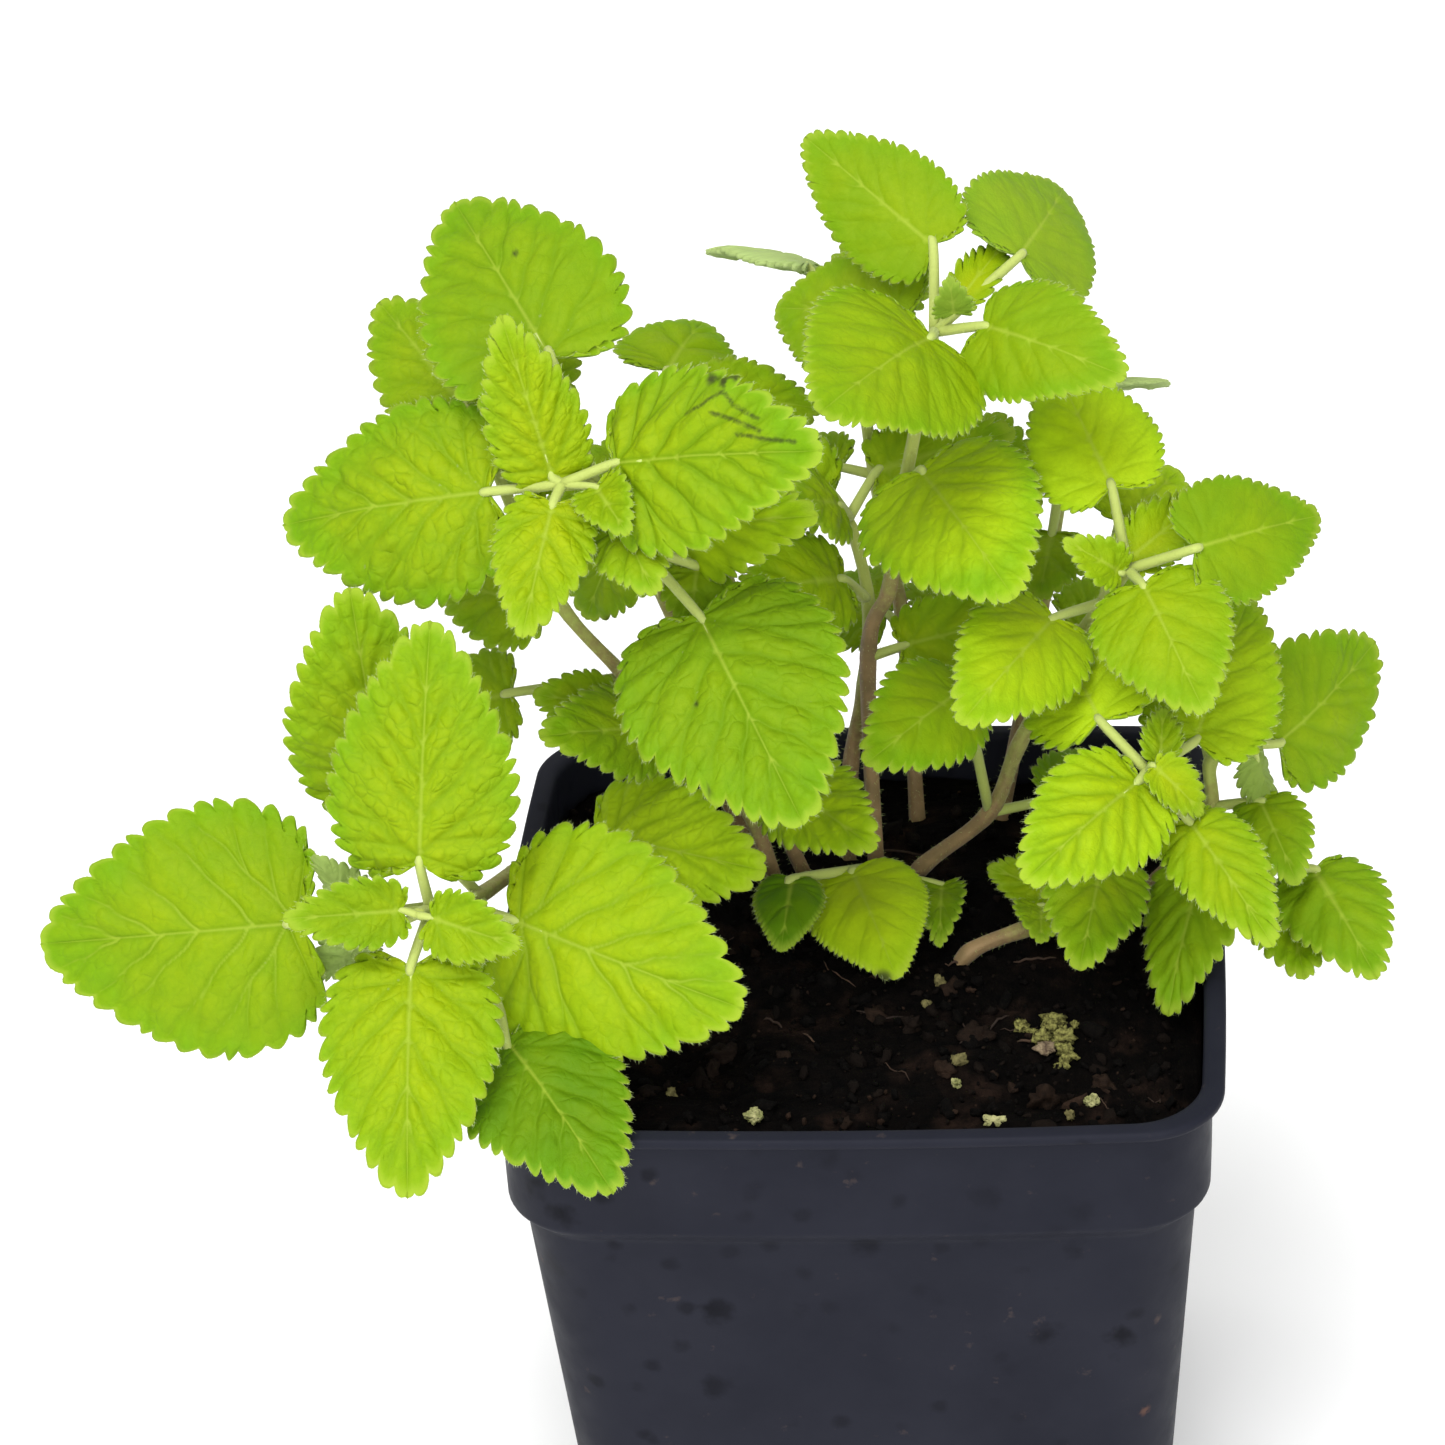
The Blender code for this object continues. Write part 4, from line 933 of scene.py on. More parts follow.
def body_half(z):
    """Outer half width of the tapered body at a height."""
    return FOOT_HALF + (BODY_TOP_HALF - FOOT_HALF) * min(z / LEDGE_LOW, 1.0)


def rounded(profile):
    """A profile of (half, z, inset) with its corners rounded off."""
    result = [profile[0]]
    for before, here, after in zip(profile, profile[1:], profile[2:]):
        near = []
        for other in (before, after):
            way = other - here
            size = max(float(np.hypot(way[0], way[1])), 1e-6)
            near.append(here + way * min(EDGE_ROUNDING / size, 0.45))
        result += pulled_curve(near[0], here, near[1], ROUNDING_POINTS)
    return result + [profile[-1]]


def make_pot(material):
    profile = np.array([
        (FOOT_HALF - FOOT_FACE_INSET, 0.0, 0.0),
        (FOOT_HALF, 0.0, 0.0),
        (0.5 * (FOOT_HALF + BODY_TOP_HALF), 0.5 * LEDGE_LOW, 0.0),
        (BODY_TOP_HALF, LEDGE_LOW, 0.0),
        (BAND_HALF, BAND_LOW, 0.0),
        (BAND_HALF, LIP_LOW, 0.0),
        (LIP_HALF, LIP_LOW, 0.0),
        (LIP_HALF, POT_HEIGHT, 0.0),
        (LIP_INNER_HALF, POT_HEIGHT, WALL),
        (BAND_HALF - WALL, POT_HEIGHT - LIP_FILLET, WALL),
        (BAND_HALF - WALL, BAND_LOW + LEDGE_WALL_RISE, WALL),
        (BODY_TOP_HALF - WALL, LEDGE_LOW + LEDGE_WALL_RISE, WALL),
        (body_half(FLOOR) - WALL, FLOOR, WALL),
    ])
    points, fours, threes = loft([square_loop(*stop) for stop in rounded(profile)])
    pot = add_mesh("pot_shell", points, [fours], [threes], material)
    angle = math.tau * np.arange(DRAIN_SIDES) / DRAIN_SIDES
    cutters = []
    for x_sign, y_sign in ((1, 1), (-1, 1), (-1, -1), (1, -1)):
        x = DRAIN_OFFSET * x_sign + DRAIN_RADIUS * np.cos(angle)
        y = DRAIN_OFFSET * y_sign + DRAIN_RADIUS * np.sin(angle)
        rings = [np.column_stack([x, y, np.full(DRAIN_SIDES, z)]) for z in (-1.0, FLOOR + 1.0)]
        points, fours, threes = loft(rings)
        cutter = add_mesh("drain_cutter", points, [fours], [threes], material)
        modifier = pot.modifiers.new("drain", "BOOLEAN")
        modifier.operation = "DIFFERENCE"
        modifier.object = cutter
        modifier.solver = "EXACT"
        cutters.append(cutter)
    graph = bpy.context.evaluated_depsgraph_get()
    result = bpy.data.meshes.new_from_object(pot.evaluated_get(graph))
    pot.modifiers.clear()
    pot.data = result
    for cutter in cutters:
        bpy.data.objects.remove(cutter, do_unlink=True)
    return pot


def ground_height(points):
    """The fine soil surface: rolling ground with clods and grit."""
    x, y = points[:, 0], points[:, 1]
    height = SOIL_LEVEL
    for wave_x, wave_y, phase, size in SOIL_WAVES:
        height = height + size * np.sin(wave_x * x + wave_y * y + phase)
    height = height + 0.55 * value_noise(points, 4.2, 3) + 0.42 * value_noise(points, 1.9, 5)
    grit = np.sqrt(np.clip(cell_walls(points, 1.5, 8), 0, 1)) - 0.55
    return height + 0.75 * grit + 0.22 * value_noise(points, 0.8, 9)


def on_ground(spot, lift):
    """The spot on the ground with a height above it."""
    return np.array([*spot, float(ground_height(np.array([spot]))[0]) + lift])


def make_soil(material):
    inset = WALL + GAP
    floor = FLOOR + GAP
    rise = LEDGE_WALL_RISE + GAP
    loops = [square_loop(half, z, inset) for half, z in (
        (body_half(floor) - inset, floor), (BODY_TOP_HALF - inset, LEDGE_LOW + rise),
        (BAND_HALF - inset, BAND_LOW + rise), (BAND_HALF - inset, SOIL_LEVEL - 2.5))]
    edge = square_loop(BAND_HALF - inset, 0.0, inset)
    for share in np.linspace(1.0, 0.02, SOIL_RINGS):
        ring = edge * share
        ring[:, 2] = ground_height(ring[:, :2]) - SOIL_EDGE_DROP * math.exp(-(1.0 - share) / 0.02)
        loops.append(ring)
    points, fours, threes = loft(loops)
    return add_mesh("soil_ground", points, [fours], [threes], material, {"place": points})


def ball(level):
    """Points and triangles of a round ball."""
    t = (1 + 5 ** 0.5) / 2
    points = [(-1, t, 0), (1, t, 0), (-1, -t, 0), (1, -t, 0), (0, -1, t), (0, 1, t),
              (0, -1, -t), (0, 1, -t), (t, 0, -1), (t, 0, 1), (-t, 0, -1), (-t, 0, 1)]
    points = [unit(np.array(p, float)) for p in points]
    faces = [(0, 11, 5), (0, 5, 1), (0, 1, 7), (0, 7, 10), (0, 10, 11), (1, 5, 9), (5, 11, 4), (11, 10, 2),
             (10, 7, 6), (7, 1, 8), (3, 9, 4), (3, 4, 2), (3, 2, 6), (3, 6, 8), (3, 8, 9), (4, 9, 5),
             (2, 4, 11), (6, 2, 10), (8, 6, 7), (9, 8, 1)]
    for _ in range(level):
        middle = {}

        def between(a, b):
            key = (min(a, b), max(a, b))
            if key not in middle:
                middle[key] = len(points)
                points.append(unit(points[a] + points[b]))
            return middle[key]

        finer = []
        for a, b, c in faces:
            ab, bc, ca = between(a, b), between(b, c), between(c, a)
            finer += [(a, ab, ca), (b, bc, ab), (c, ca, bc), (ab, bc, ca)]
        faces = finer
    return np.array(points), np.array(faces)


def rough_ball(level, shape, roughness, rng_np, scale=1.6):
    """A ball stretched to a shape and dented by noise."""
    points, faces = ball(level)
    shift = rng_np.uniform(0, 90, 3)
    swell = np.array([noise.noise(tuple(p * scale + shift))
                      + 0.5 * noise.noise(tuple(p * scale * 2.3 + shift)) for p in points])
    turn = np.linalg.qr(rng_np.normal(size=(3, 3)))[0]
    if np.linalg.det(turn) < 0:
        turn[:, 0] *= -1
    return (points * (1.0 + roughness * swell)[:, None] * shape) @ turn.T, faces


def make_crumbs(material, rng_np):
    """Crumbs and clods of soil strewn over the ground, and a few pale grains."""
    heap = Heap()
    limit = BAND_HALF - WALL - 1.6
    kinds, small = ([rough_ball(level, CRUMB_SHAPE, roughness, rng_np) for _ in range(CRUMB_KINDS)]
                    for level, roughness in ((1, 0.75), (0, 0.6)))
    stems = np.array([stem[0][:2] for _, stem, _ in SHOOTS.values()])
    for number in range(CRUMBS + CLODS):
        spot = rng_np.uniform(-limit, limit, 2)
        corner = np.maximum(np.abs(spot) - (BAND_HALF - CORNER_RADIUS), 0.0)
        if np.hypot(*corner) > CORNER_RADIUS - WALL - 1.4 or np.min(sizes_of(stems - spot)) < STEM_CLEARANCE:
            continue
        crumb = number < CRUMBS
        if crumb:
            size = CRUMB_SIZE + CRUMB_GROWTH * rng_np.random() ** CRUMB_RARITY
        else:
            size = rng_np.uniform(*CLOD_SIZES)
        points, faces = (small if size < SMALL_CRUMB else kinds)[rng_np.integers(CRUMB_KINDS)]
        angle = rng_np.uniform(0, math.tau)
        c, s = math.cos(angle), math.sin(angle)
        turn = np.array([[c, -s, 0], [s, c, 0], [0, 0, 1]])
        body = points @ turn.T * size + on_ground(spot, size * (CRUMB_LIFT if crumb else CLOD_LIFT))
        heap.add(body, [], faces, shade=0.975 * rng_np.random())
    for x, y, size, shade in GRAINS:
        points, faces = rough_ball(2, (1.0, 0.8, 0.6), 0.8, rng_np)
        heap.add(points * size + on_ground((x, y), 0.2 * size), [], faces, shade=shade)
    return heap.make("soil_crumbs", material)


def make_fibres(material, rng_np):
    """Thin roots and splinters in the mix."""
    heap = Heap()
    limit = BAND_HALF - WALL - 5.0
    for _ in range(FIBRES):
        spot = rng_np.uniform(-limit, limit, 2)
        heading = rng_np.uniform(0, math.tau)
        length = rng_np.uniform(*FIBRE_LENGTHS)
        bend = rng_np.uniform(-FIBRE_BEND, FIBRE_BEND)
        path = []
        for _ in FIBRE_TAPER:
            spot = np.clip(spot, -limit, limit)
            path.append(on_ground(spot, FIBRE_LIFT))
            heading += bend
            spot = spot + np.array([math.cos(heading), math.sin(heading)]) * length / 7 + 1e-3
        (points, fours, threes), _ = tube(path, rng_np.uniform(*FIBRE_RADII) * np.array(FIBRE_TAPER), 6)
        heap.add(points, fours, threes, shade=rng_np.random())
    return heap.make("soil_fibres", material)


def cad_box(node):
    """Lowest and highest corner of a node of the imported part, in millimetres."""
    return (np.array(corner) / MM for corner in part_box(node))


def make_moss(material, rng_np):
    """Tufts of moss around the chip of bark near the front."""
    heap = Heap()
    low, high = cad_box("bark_front")
    for x, y, size in MOSS:
        points, faces = rough_ball(2, (1.0, 0.85, 0.8), 1.0, rng_np, 2.0)
        body = points * size + on_ground(0.5 * (low + high)[:2] + (x, y), 0.7 * size)
        heap.add(body, [], faces, place=body)
    return heap.make("bark_front_moss", material)


def make_bit(node, material, roughness, scale, rng_np):
    """A finer lump in the place of a plain one."""
    low, high = cad_box(node)
    points, faces = rough_ball(3, np.ones(3), roughness, rng_np, scale)
    points -= 0.5 * (points.max(0) + points.min(0))
    points *= (high - low) / (points.max(0) - points.min(0)) * (1.0, 1.0, 1.08)
    points += 0.5 * (low + high) - (0, 0, 0.25)
    return add_mesh(node + "_grain", points, [], [faces], material, {"place": points})


# Colours, linear
LEAF_BRIGHT = (0.235, 0.375, 0.002)
LEAF_WARM = (0.268, 0.390, 0.002)
# Painted sunlight, laid on leaves whose tone value is over 1.
LEAF_SUN = (0.420, 0.620, 0.006)
LEAF_HAZE = (0.430, 0.530, 0.230)
LEAF_CORE = (0.330, 0.410, 0.001)
LEAF_FRESH = (0.130, 0.330, 0.002)
# Deep greens: the leaves' own darker tone, and painted shade on leaves lying in shade; also the random
# darker grain.
LEAF_DEEP = (0.085, 0.200, 0.002)
LEAF_DEEP_WARM = (0.120, 0.230, 0.002)
# Painted shade for the furrows beside the veins and the walls between the net's cells.
LEAF_CREASE_SHADE = (0.110, 0.225, 0.001)
LEAF_OLD = (0.230, 0.240, 0.008)
LEAF_VEIN = (0.370, 0.470, 0.045)
LEAF_UNDER = (0.220, 0.315, 0.060)
LEAF_GLOW = (0.350, 0.520, 0.001)
LEAF_MARK = (0.040, 0.050, 0.010)
STALK_GREEN = (0.300, 0.345, 0.070)
STALK_PALE = (0.360, 0.440, 0.120)
STALK_BROWN = (0.155, 0.108, 0.044)
STALK_RED = (0.230, 0.150, 0.066)
HAIR_PALE = (0.52, 0.60, 0.28)
HAIR_GREEN = (0.36, 0.46, 0.12)
POT_DARK = (0.0095, 0.0102, 0.0158)
POT_PALE = (0.0130, 0.0138, 0.0205)
POT_BLOTCH = (0.0024, 0.0026, 0.0042)
POT_DUST = (0.10, 0.07, 0.055)
POT_SPECK = (0.12, 0.06, 0.04)
SOIL_DARK = (0.0008, 0.0007, 0.0007)
SOIL_PALE = (0.0042, 0.0030, 0.0024)
SOIL_PEAT = (0.016, 0.0092, 0.0066)
SOIL_CHIP = (0.030, 0.018, 0.012)
CRUMB_DARK = (0.0012, 0.0010, 0.0009)
CRUMB_BROWN = (0.009, 0.0058, 0.0042)
CRUMB_LIGHT = (0.027, 0.0155, 0.010)
CRUMB_PALE = (0.17, 0.15, 0.06)
CRUMB_DIRT = (0.005, 0.0038, 0.003)
FIBRE_DARK = (0.012, 0.007, 0.005)
FIBRE_PALE = (0.060, 0.034, 0.020)
FIBRE_DIRT = (0.024, 0.014, 0.009)
PERLITE_DARK = (0.12, 0.13, 0.035)
PERLITE_PALE = (0.42, 0.40, 0.19)
PERLITE_PIT = (0.13, 0.11, 0.07)
BARK_DARK = (0.060, 0.038, 0.024)
BARK_PALE = (0.26, 0.20, 0.12)
MOSS_DARK = (0.026, 0.021, 0.006)
MOSS_PALE = (0.30, 0.29, 0.085)
FLOOR_PALE = (0.93, 0.93, 0.93)
FLOOR_WHITE = (0.95, 0.95, 0.95)
QUILT_HEIGHT = 0.54
# Grain: noise, spread of the colours, relief in mm, range of the roughness and specular level.
BARK_GRAIN = (1.1, 5.0, 0.7, 0.8), (0.35, 0.7), 0.35, (0.78, 0.95), 0.2
MOSS_GRAIN = (1.5, 5.0, 0.75), (0.38, 0.62), 0.5, (0.85, 0.97), 0.1
# Blotches of the pot: scale, size and strength of each kind.
BLOTCHES = ((0.085, 0.21, 0.8), (0.16, 0.23, 0.55))


class Graph:
    """Short calls to build a material's nodes, with its colour laid on in layers."""

    def __init__(self, name, place="object"):
        self.material = bpy.data.materials.new(name)
        self.material.use_nodes = True
        self.tree = self.material.node_tree
        self.shader = self.tree.nodes["Principled BSDF"]
        self.colour = None
        if place == "object":
            metres = self.node("TexCoord", {}, "Object")
            self.place = self.node("VectorMath", {0: metres, "Scale": 1.0 / MM}, operation="SCALE")
        else:
            self.place = self.attribute(place, "Vector")

    def put(self, socket, value):
        if isinstance(value, bpy.types.NodeSocket):
            self.tree.links.new(value, socket)
        else:
            socket.default_value = (*value, 1.0) if socket.type == "RGBA" else value

    def node(self, kind, inputs, output=0, **settings):
        """One output of a new node with these inputs and settings."""
        made = self.tree.nodes.new("ShaderNode" + kind)
        for key, value in settings.items():
            setattr(made, key, value)
        for key, value in inputs.items():
            self.put(made.inputs[key], value)
        return made.outputs[output]

    def attribute(self, name, output="Fac"):
        return self.node("Attribute", {}, output, attribute_name=name)

    def noise(self, scale, detail=3.0, roughness=0.55, distortion=0.0):
        return self.node("TexNoise", {"Vector": self.place, "Scale": scale, "Detail": detail,
                                      "Roughness": roughness, "Distortion": distortion}, "Fac")

    def voronoi(self, scale, vector=None, feature="F1"):
        inputs = {"Vector": self.place if vector is None else vector, "Scale": scale}
        return self.node("TexVoronoi", inputs, "Distance", feature=feature)

    def warped(self, vector, scale, amount):
        """The vector, pushed about by noise."""
        wander = self.node("TexNoise", {"Vector": self.place, "Scale": scale, "Detail": 1.0}, "Color")
        centred = self.node("VectorMath", {0: wander, 1: (0.5, 0.5, 0.5)}, operation="SUBTRACT")
        scaled = self.node("VectorMath", {0: centred, "Scale": amount}, operation="SCALE")
        return self.node("VectorMath", {0: vector, 1: scaled}, operation="ADD")

    def ranged(self, value, low, high, to_low=0.0, to_high=1.0):
        return self.node("MapRange", dict(enumerate((value, low, high, to_low, to_high))))

    def maths(self, operation, a, b):
        return self.node("Math", {0: a, 1: b}, operation=operation)

    def times(self, a, b):
        return self.maths("MULTIPLY", a, b)

    def mix(self, share, a, b):
        return self.node("Mix", {0: share, 6: a, 7: b}, 2, data_type="RGBA")

    def lay(self, share, colour):
        """Lays a colour over the ones so far."""
        self.colour = self.mix(share, self.colour, colour)

    def bump(self, height, distance, strength=1.0):
        relief = {"Height": height, "Distance": distance * MM, "Strength": strength}
        normal = self.node("Bump", relief, "Normal")
        self.put(self.shader.inputs["Normal"], normal)
        return normal

    def finish(self, source, low, high, rough_low, rough_high, specular, **more):
        """Sets the shader, with the roughness following a source. Gives the material."""
        roughness = self.ranged(source, low, high, rough_low, rough_high)
        values = {"Base Color": self.colour, "Roughness": roughness, "Specular IOR Level": specular, **more}
        for key, value in values.items():
            self.put(self.shader.inputs[key], value)
        return self.material

    def let_light_through(self, colour, share, normal=None):
        """Mixes in a translucent share, for thin blades and hairs."""
        inputs = {"Color": colour} if normal is None else {"Color": colour, "Normal": normal}
        glow = self.node("BsdfTranslucent", inputs)
        surface = self.node("MixShader", {0: share, 1: self.shader.outputs[0], 2: glow})
        self.put(self.tree.nodes["Material Output"].inputs["Surface"], surface)


def leaf_material():
    g = Graph("foliage_blade", "place")
    patches = g.noise(0.16)
    grain = g.noise(1.4, 3.0, 0.6)
    cells = g.warped(g.attribute("cells", "Vector"), 0.42, 0.9)
    wall = g.voronoi(1.0, cells, "DISTANCE_TO_EDGE")
    middle = g.voronoi(1.0, cells)
    quilting = g.attribute("quilting")
    warmth = g.ranged(patches, 0.35, 0.68)
    deep = g.mix(warmth, LEAF_DEEP, LEAF_DEEP_WARM)
    # Painted light and shade per leaf: its tone value runs from deep green for leaves in shade (0) to bright
    # (1) and on to painted sunlight (2).
    g.colour = g.mix(g.attribute("tint"), deep, g.mix(warmth, LEAF_BRIGHT, LEAF_WARM))
    g.lay(g.ranged(g.attribute("tint"), 1.0, 2.0), LEAF_SUN)
    g.lay(g.times(g.attribute("rim"), g.ranged(patches, 0.3, 0.7, 0.75, 0.35)), LEAF_FRESH)
    g.lay(g.times(g.attribute("core"), g.ranged(patches, 0.3, 0.7, 0.35, 0.75)), LEAF_CORE)
    g.lay(g.ranged(grain, 0.35, 0.75, 0.0, 0.35), g.mix(0.5, g.colour, LEAF_DEEP))
    g.lay(g.ranged(g.attribute("aging"), 0.0, 1.0, 0.0, 0.85), LEAF_OLD)
    # Painted shade: darker green in the furrows beside the veins and in thin lines along the walls between
    # the net's cells.
    g.lay(g.ranged(g.attribute("crease_shade"), 0.0, 1.0, 0.0, 0.5), LEAF_CREASE_SHADE)
    g.lay(g.times(g.ranged(wall, 0.0, 0.12, 1.0, 0.0), g.ranged(quilting, 0.0, 0.5, 0.0, 0.26)), LEAF_CREASE_SHADE)
    g.lay(g.ranged(g.attribute("vein"), 0.3, 1.0, 0.0, 0.62), LEAF_VEIN)
    g.lay(g.ranged(g.attribute("margin"), 0.2, 1.0, 0.0, 0.5), LEAF_VEIN)
    g.lay(g.attribute("mark"), LEAF_MARK)
    ragged = g.ranged(g.noise(1.6, 4.0, 0.7), 0.3, 0.7, -0.16, 0.20)
    g.lay(g.ranged(g.maths("ADD", g.attribute("scar"), ragged), 0.05, 0.42, 0.80, 0.0), LEAF_MARK)
    g.lay(g.ranged(g.attribute("under"), 0.3, 0.7, 0.0, 0.72), LEAF_UNDER)
    g.lay(g.attribute("haze"), LEAF_HAZE)
    shoulder = g.ranged(wall, 0.0, 0.42)
    shoulder = g.times(g.times(shoulder, g.maths("SUBTRACT", 2.0, shoulder)), 0.45)
    dome = g.maths("ADD", shoulder, g.ranged(g.times(middle, middle), 0.0, 0.5, 0.8, 0.0))
    dome = g.times(dome, g.ranged(g.noise(0.5, 1.0), 0.3, 0.7, 0.6, 1.4))
    height = g.times(dome, g.times(quilting, QUILT_HEIGHT))
    normal = g.bump(g.maths("ADD", height, g.times(g.noise(4.0), 0.06)), 1.0, 0.9)
    g.let_light_through(g.mix(0.5, g.colour, LEAF_GLOW), 0.28, normal)
    return g.finish(grain, 0.2, 0.8, 0.52, 0.7, 0.12)


def stalk_material():
    g = Graph("foliage_stalk")
    streaks = g.noise(0.9, 3.0, 0.6)
    aged = g.maths("ADD", g.attribute("age"), g.ranged(streaks, 0.2, 0.8, -0.16, 0.16))
    g.colour = g.mix(g.attribute("petiole"), STALK_GREEN, STALK_PALE)
    g.lay(g.ranged(streaks, 0.3, 0.75, 0.0, 0.4), STALK_GREEN)
    g.lay(g.ranged(aged, 0.42, 0.86), g.mix(g.ranged(g.noise(0.35), 0.35, 0.65), STALK_RED, STALK_BROWN))
    g.bump(g.noise(3.2), 0.12, 0.7)
    return g.finish(streaks, 0.2, 0.8, 0.5, 0.75, 0.25, **{"Sheen Weight": 0.1, "Sheen Roughness": 0.5})


def hair_material():
    g = Graph("foliage_hair")
    g.colour = g.mix(g.noise(0.5), HAIR_PALE, HAIR_GREEN)
    g.let_light_through(g.colour, 0.4)
    return g.finish(g.noise(1.1), 0.2, 0.8, 0.45, 0.6, 0.3)


def pot_material():
    g = Graph("pot_plastic")
    cloud = g.noise(0.045, 4.0, 0.6)
    g.colour = g.mix(g.ranged(cloud, 0.35, 0.7), POT_DARK, POT_PALE)
    g.lay(g.times(g.ranged(g.noise(0.35, 4.0, 0.6), 0.66, 0.80), 0.35), POT_DUST)
    edges = g.ranged(g.noise(0.5, 2.0), 0.3, 0.7, -0.05, 0.05)
    for scale, size, strength in BLOTCHES:
        blotch = g.ranged(g.maths("ADD", g.voronoi(scale), edges), 0.4 * size, size, 1.0, 0.0)
        g.lay(g.times(blotch, g.ranged(cloud, 0.35, 0.6, 0.25 * strength, strength)), POT_BLOTCH)
    specks = g.ranged(g.voronoi(0.075), 0.02, 0.085, 1.0, 0.0)
    g.lay(g.times(g.times(specks, g.ranged(g.noise(0.8, 2.0), 0.45, 0.6)), 0.5), POT_SPECK)
    g.bump(g.noise(1.6, 4.0, 0.6), 0.03, 0.35)
    return g.finish(g.noise(0.22, 4.0), 0.3, 0.7, 0.44, 0.58, 0.045)


def soil_material():
    g = Graph("soil_mix", "place")
    clods = g.noise(0.55, 5.0, 0.65)
    g.colour = g.mix(g.ranged(clods, 0.35, 0.75), SOIL_DARK, SOIL_PALE)
    g.lay(g.times(g.ranged(g.noise(0.11, 2.0), 0.52, 0.66), g.ranged(clods, 0.4, 0.6, 0.3, 1.0)), SOIL_PEAT)
    chips = g.ranged(g.voronoi(0.75), 0.0, 0.16, 1.0, 0.0)
    g.lay(g.times(chips, g.ranged(g.noise(0.3), 0.5, 0.62)), SOIL_CHIP)
    g.bump(g.noise(2.6, 5.0, 0.7), 0.5)
    return g.finish(clods, 0.3, 0.7, 0.8, 0.97, 0.035)


def crumb_material():
    g = Graph("soil_crumb")
    shade = g.attribute("shade")
    g.colour = g.mix(g.ranged(shade, 0.5, 0.9), CRUMB_DARK, CRUMB_BROWN)
    g.lay(g.ranged(shade, 0.88, 0.96), CRUMB_LIGHT)
    g.lay(g.ranged(shade, 0.98, 0.985), CRUMB_PALE)
    g.lay(g.ranged(g.noise(1.3, 4.0), 0.4, 0.7, 0.0, 0.6), CRUMB_DIRT)
    g.bump(g.noise(4.0, 4.0, 0.7), 0.25, 0.9)
    return g.finish(g.noise(2.0), 0.3, 0.7, 0.75, 0.95, 0.05)


def fibre_material():
    g = Graph("soil_fibre")
    g.colour = g.mix(g.attribute("shade"), FIBRE_DARK, FIBRE_PALE)
    g.lay(g.ranged(g.noise(1.2), 0.4, 0.7), FIBRE_DIRT)
    return g.finish(g.noise(2.0), 0.3, 0.7, 0.7, 0.9, 0.2)


def perlite_material():
    g = Graph("perlite_grain", "place")
    cloud = g.noise(0.7, 5.0, 0.65)
    pits = g.times(g.ranged(g.voronoi(1.9), 0.0, 0.3, 1.0, 0.0), 0.5)
    g.colour = g.mix(g.ranged(cloud, 0.35, 0.7), PERLITE_DARK, PERLITE_PALE)
    g.lay(pits, PERLITE_PIT)
    g.bump(g.maths("SUBTRACT", cloud, pits), 0.4, 0.9)
    return g.finish(cloud, 0.3, 0.7, 0.75, 0.92, 0.25)


def grain_material(name, dark, pale, noise_values, spread, relief, rough, specular):
    """A dull material whose colour, relief and roughness all follow one grain."""
    g = Graph(name, "place")
    grain = g.noise(*noise_values)
    g.colour = g.mix(g.ranged(grain, *spread), dark, pale)
    g.bump(grain, relief)
    return g.finish(grain, 0.3, 0.7, *rough, specular)


FLOOR_HALF = 4000.0
LAMP_TARGET = (0.0, 0.0, 90.0)
# Lamps: name, place, size and power.
LAMPS = (("key", (-260.0, -420.0, 1150.0), 800.0, 14.5), ("fill", (250.0, -1050.0, 520.0), 900.0, 10.0))
WORLD_STRENGTH = 0.86
CAMERA_AZIMUTH = 5.6
CAMERA_RISE = 32.5
CAMERA_ROLL = -4.0
CAMERA_DISTANCE = 585.0
CAMERA_TARGET = np.array([-15.8, 0.0, 118.9])
CAMERA_FOCUS = 4770.0
PICTURE_SIDE = 1445.0
SENSOR = 36.0


def make_floor():
    g = Graph("floor")
    g.colour = g.mix(g.noise(0.01), FLOOR_PALE, FLOOR_WHITE)
    for key, value in (("Base Color", g.colour), ("Roughness", 0.9), ("Specular IOR Level", 0.1)):
        g.put(g.shader.inputs[key], value)
    points = FLOOR_HALF * np.array([[-1.0, -1.0, 0.0], [1.0, -1.0, 0.0], [1.0, 1.0, 0.0], [-1.0, 1.0, 0.0]])
    add_mesh("floor", points, [np.array([[0, 1, 2, 3]])], [], g.material)


def add_placed(name, data, right, up, back, place):
    """A lamp or camera at a place, with the directions of its axes."""
    thing = bpy.data.objects.new(name, data)
    rows = [[right[k], up[k], back[k], place[k] * MM] for k in range(3)]
    thing.matrix_world = Matrix(rows + [[0.0, 0.0, 0.0, 1.0]])
    bpy.context.scene.collection.objects.link(thing)
    return thing


def make_light():
    world = bpy.data.worlds.new("studio")
    world.use_nodes = True
    background = world.node_tree.nodes["Background"].inputs
    background["Color"].default_value = (1.0, 1.0, 1.0, 1.0)
    background["Strength"].default_value = WORLD_STRENGTH
    bpy.context.scene.world = world
    for name, place, size, power in LAMPS:
        data = bpy.data.lights.new(name, "AREA")
        data.shape = "SQUARE"
        data.size = size * MM
        data.energy = power
        back = unit(np.array(place) - LAMP_TARGET)
        right = unit(np.cross((0.0, 0.0, 1.0), back))
        add_placed(name, data, right, np.cross(back, right), back, place)


def make_camera():
    a = math.radians(CAMERA_AZIMUTH)
    e = math.radians(CAMERA_RISE)
    r = math.radians(CAMERA_ROLL)
    back = np.array([math.sin(a) * math.cos(e), -math.cos(a) * math.cos(e), math.sin(e)])
    level = np.array([math.cos(a), math.sin(a), 0.0])
    upright = np.cross(back, level)
    right = level * math.cos(r) + upright * math.sin(r)
    up = upright * math.cos(r) - level * math.sin(r)
    data = bpy.data.cameras.new("camera")
    data.sensor_width = SENSOR
    data.lens = CAMERA_FOCUS / PICTURE_SIDE * SENSOR
    data.clip_start = 0.01
    data.clip_end = 50.0
    place = CAMERA_TARGET + back * CAMERA_DISTANCE
    bpy.context.scene.camera = add_placed("camera", data, right, up, back, place)


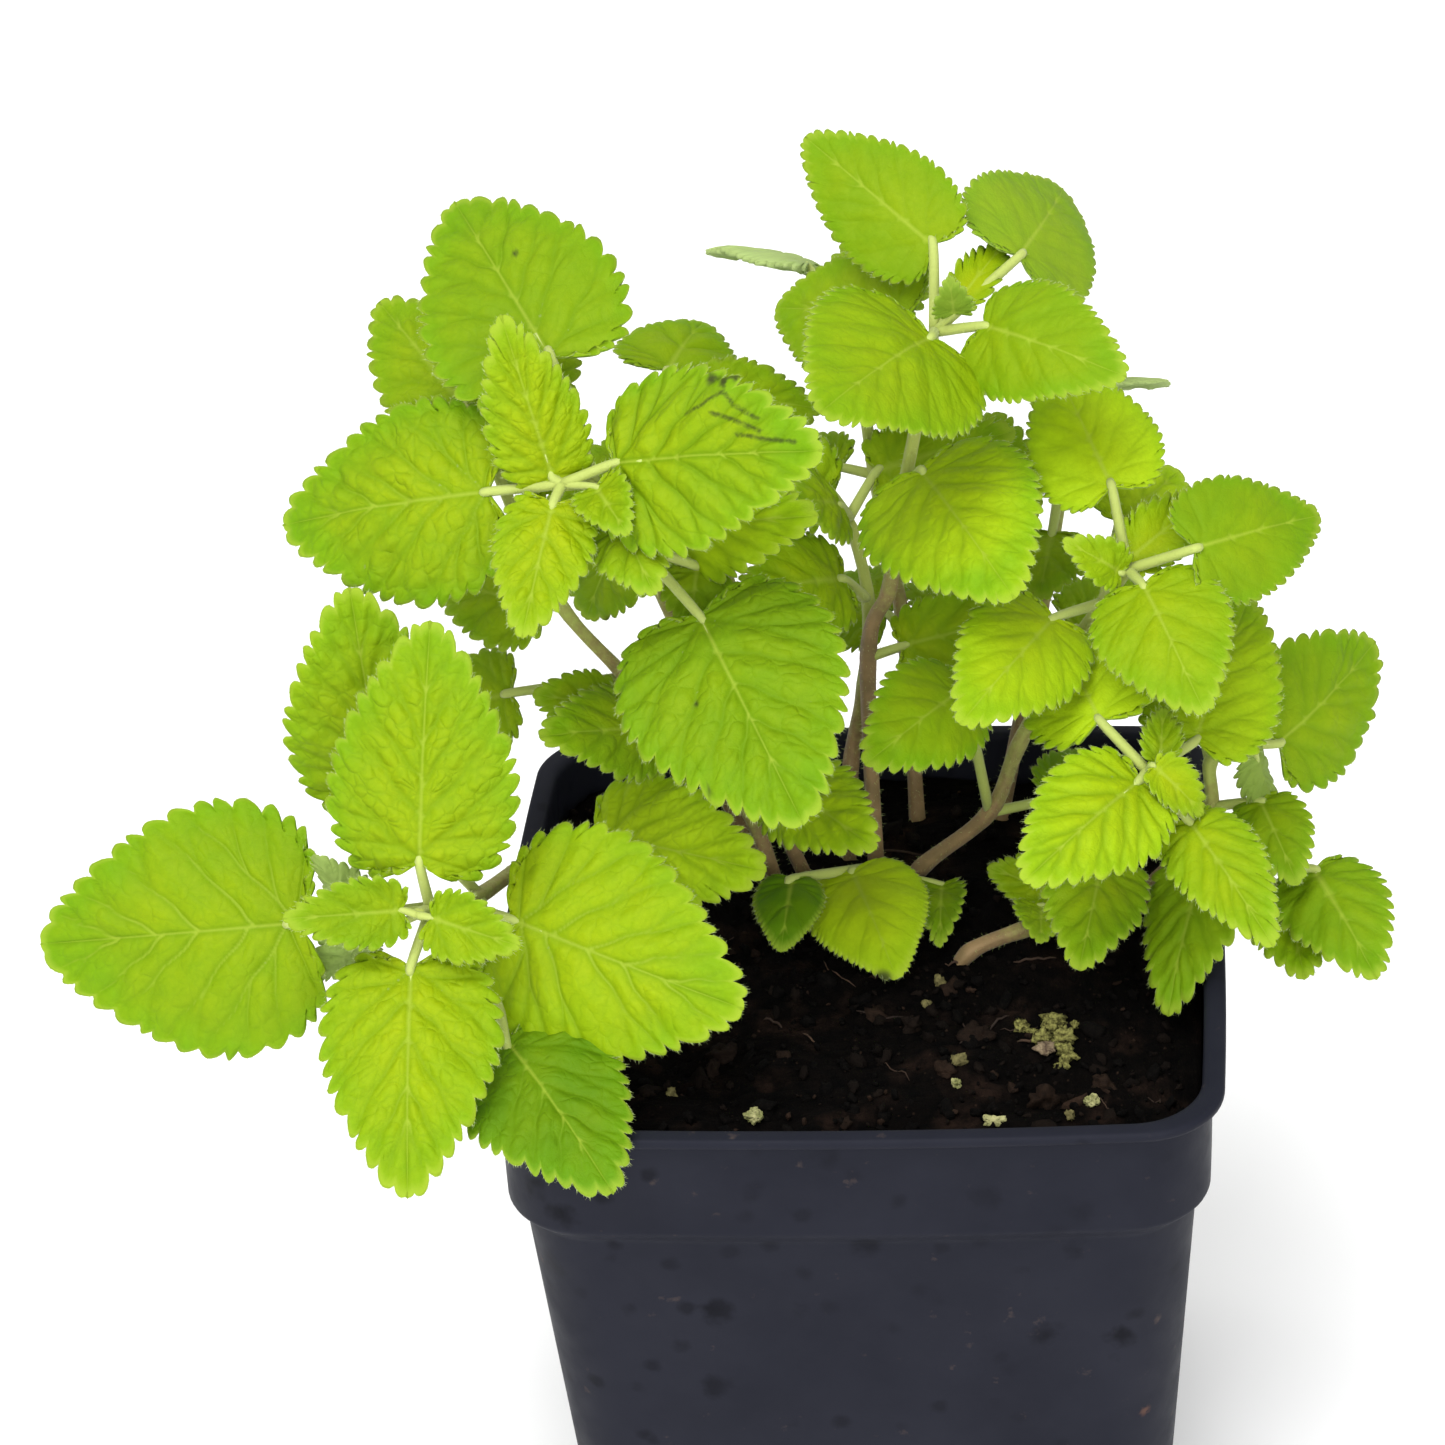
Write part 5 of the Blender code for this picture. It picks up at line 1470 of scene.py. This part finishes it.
def settle(piece, slot, *nodes):
    """Puts a piece on the part's one body, in the place of plain nodes."""
    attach(piece, "root")
    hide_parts(*nodes)


def make_foliage(rng_np):
    """Every leaf, the stalks and the hairs of each shoot."""
    foliage, stalk, hair = leaf_material(), stalk_material(), hair_material()
    for number, (name, (face, stem, leaves)) in enumerate(SHOOTS.items()):
        node = "shoot_" + name
        hairs = Heap()
        blades = []
        for index, (leaf_name, stem_point, petiole, way, width, roll, own) in enumerate(leaves):
            blade = placed_blade(face, stem, stem_point, petiole, way, width, roll, PHASE_STEP * index)
            look = {**PLAIN_LOOK, "steps": REAR_STEPS if name in REAR_SHOOTS else PLAIN_STEPS, **own}
            if width < YOUNG_WIDTH:
                look["cell"] = YOUNG_CELL
            rng = random.Random(SEED * 1000 + number * 40 + index)
            piece, margins = make_blade("leaf_" + name + "_" + leaf_name, blade, look, foliage, rng)
            for run, outward in margins:
                fuzz_margin(hairs, run, outward, rng_np)
            settle(piece, "foliage", node)
            blades.append(blade)
        settle(make_stalks("stalks_" + name, stem, blades, stalk, hairs, rng_np), "foliage", node)
        settle(hairs.make("hairs_" + name, hair), "foliage", node)


def main():
    make_camera()
    make_light()
    make_floor()
    rng_np = np.random.default_rng(SEED)
    make_foliage(rng_np)
    settle(make_pot(pot_material()), "pot", "pot")
    settle(make_soil(soil_material()), "soil", "soil")
    settle(make_crumbs(crumb_material(), rng_np), "soil", "soil")
    settle(make_fibres(fibre_material(), rng_np), "soil", "soil")
    moss = grain_material("bark_moss", MOSS_DARK, MOSS_PALE, *MOSS_GRAIN)
    settle(make_moss(moss, rng_np), "bark", "bark_front")
    perlite = perlite_material()
    bark = grain_material("bark_chip", BARK_DARK, BARK_PALE, *BARK_GRAIN)
    for node in sorted(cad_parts):
        if node.startswith("perlite"):
            settle(make_bit(node, perlite, 0.5, 1.6, rng_np), "perlite", node)
        if node.startswith("bark"):
            settle(make_bit(node, bark, 0.6, 1.3, rng_np), "bark", node)
    bpy.context.scene.view_settings.view_transform = "Standard"


main()
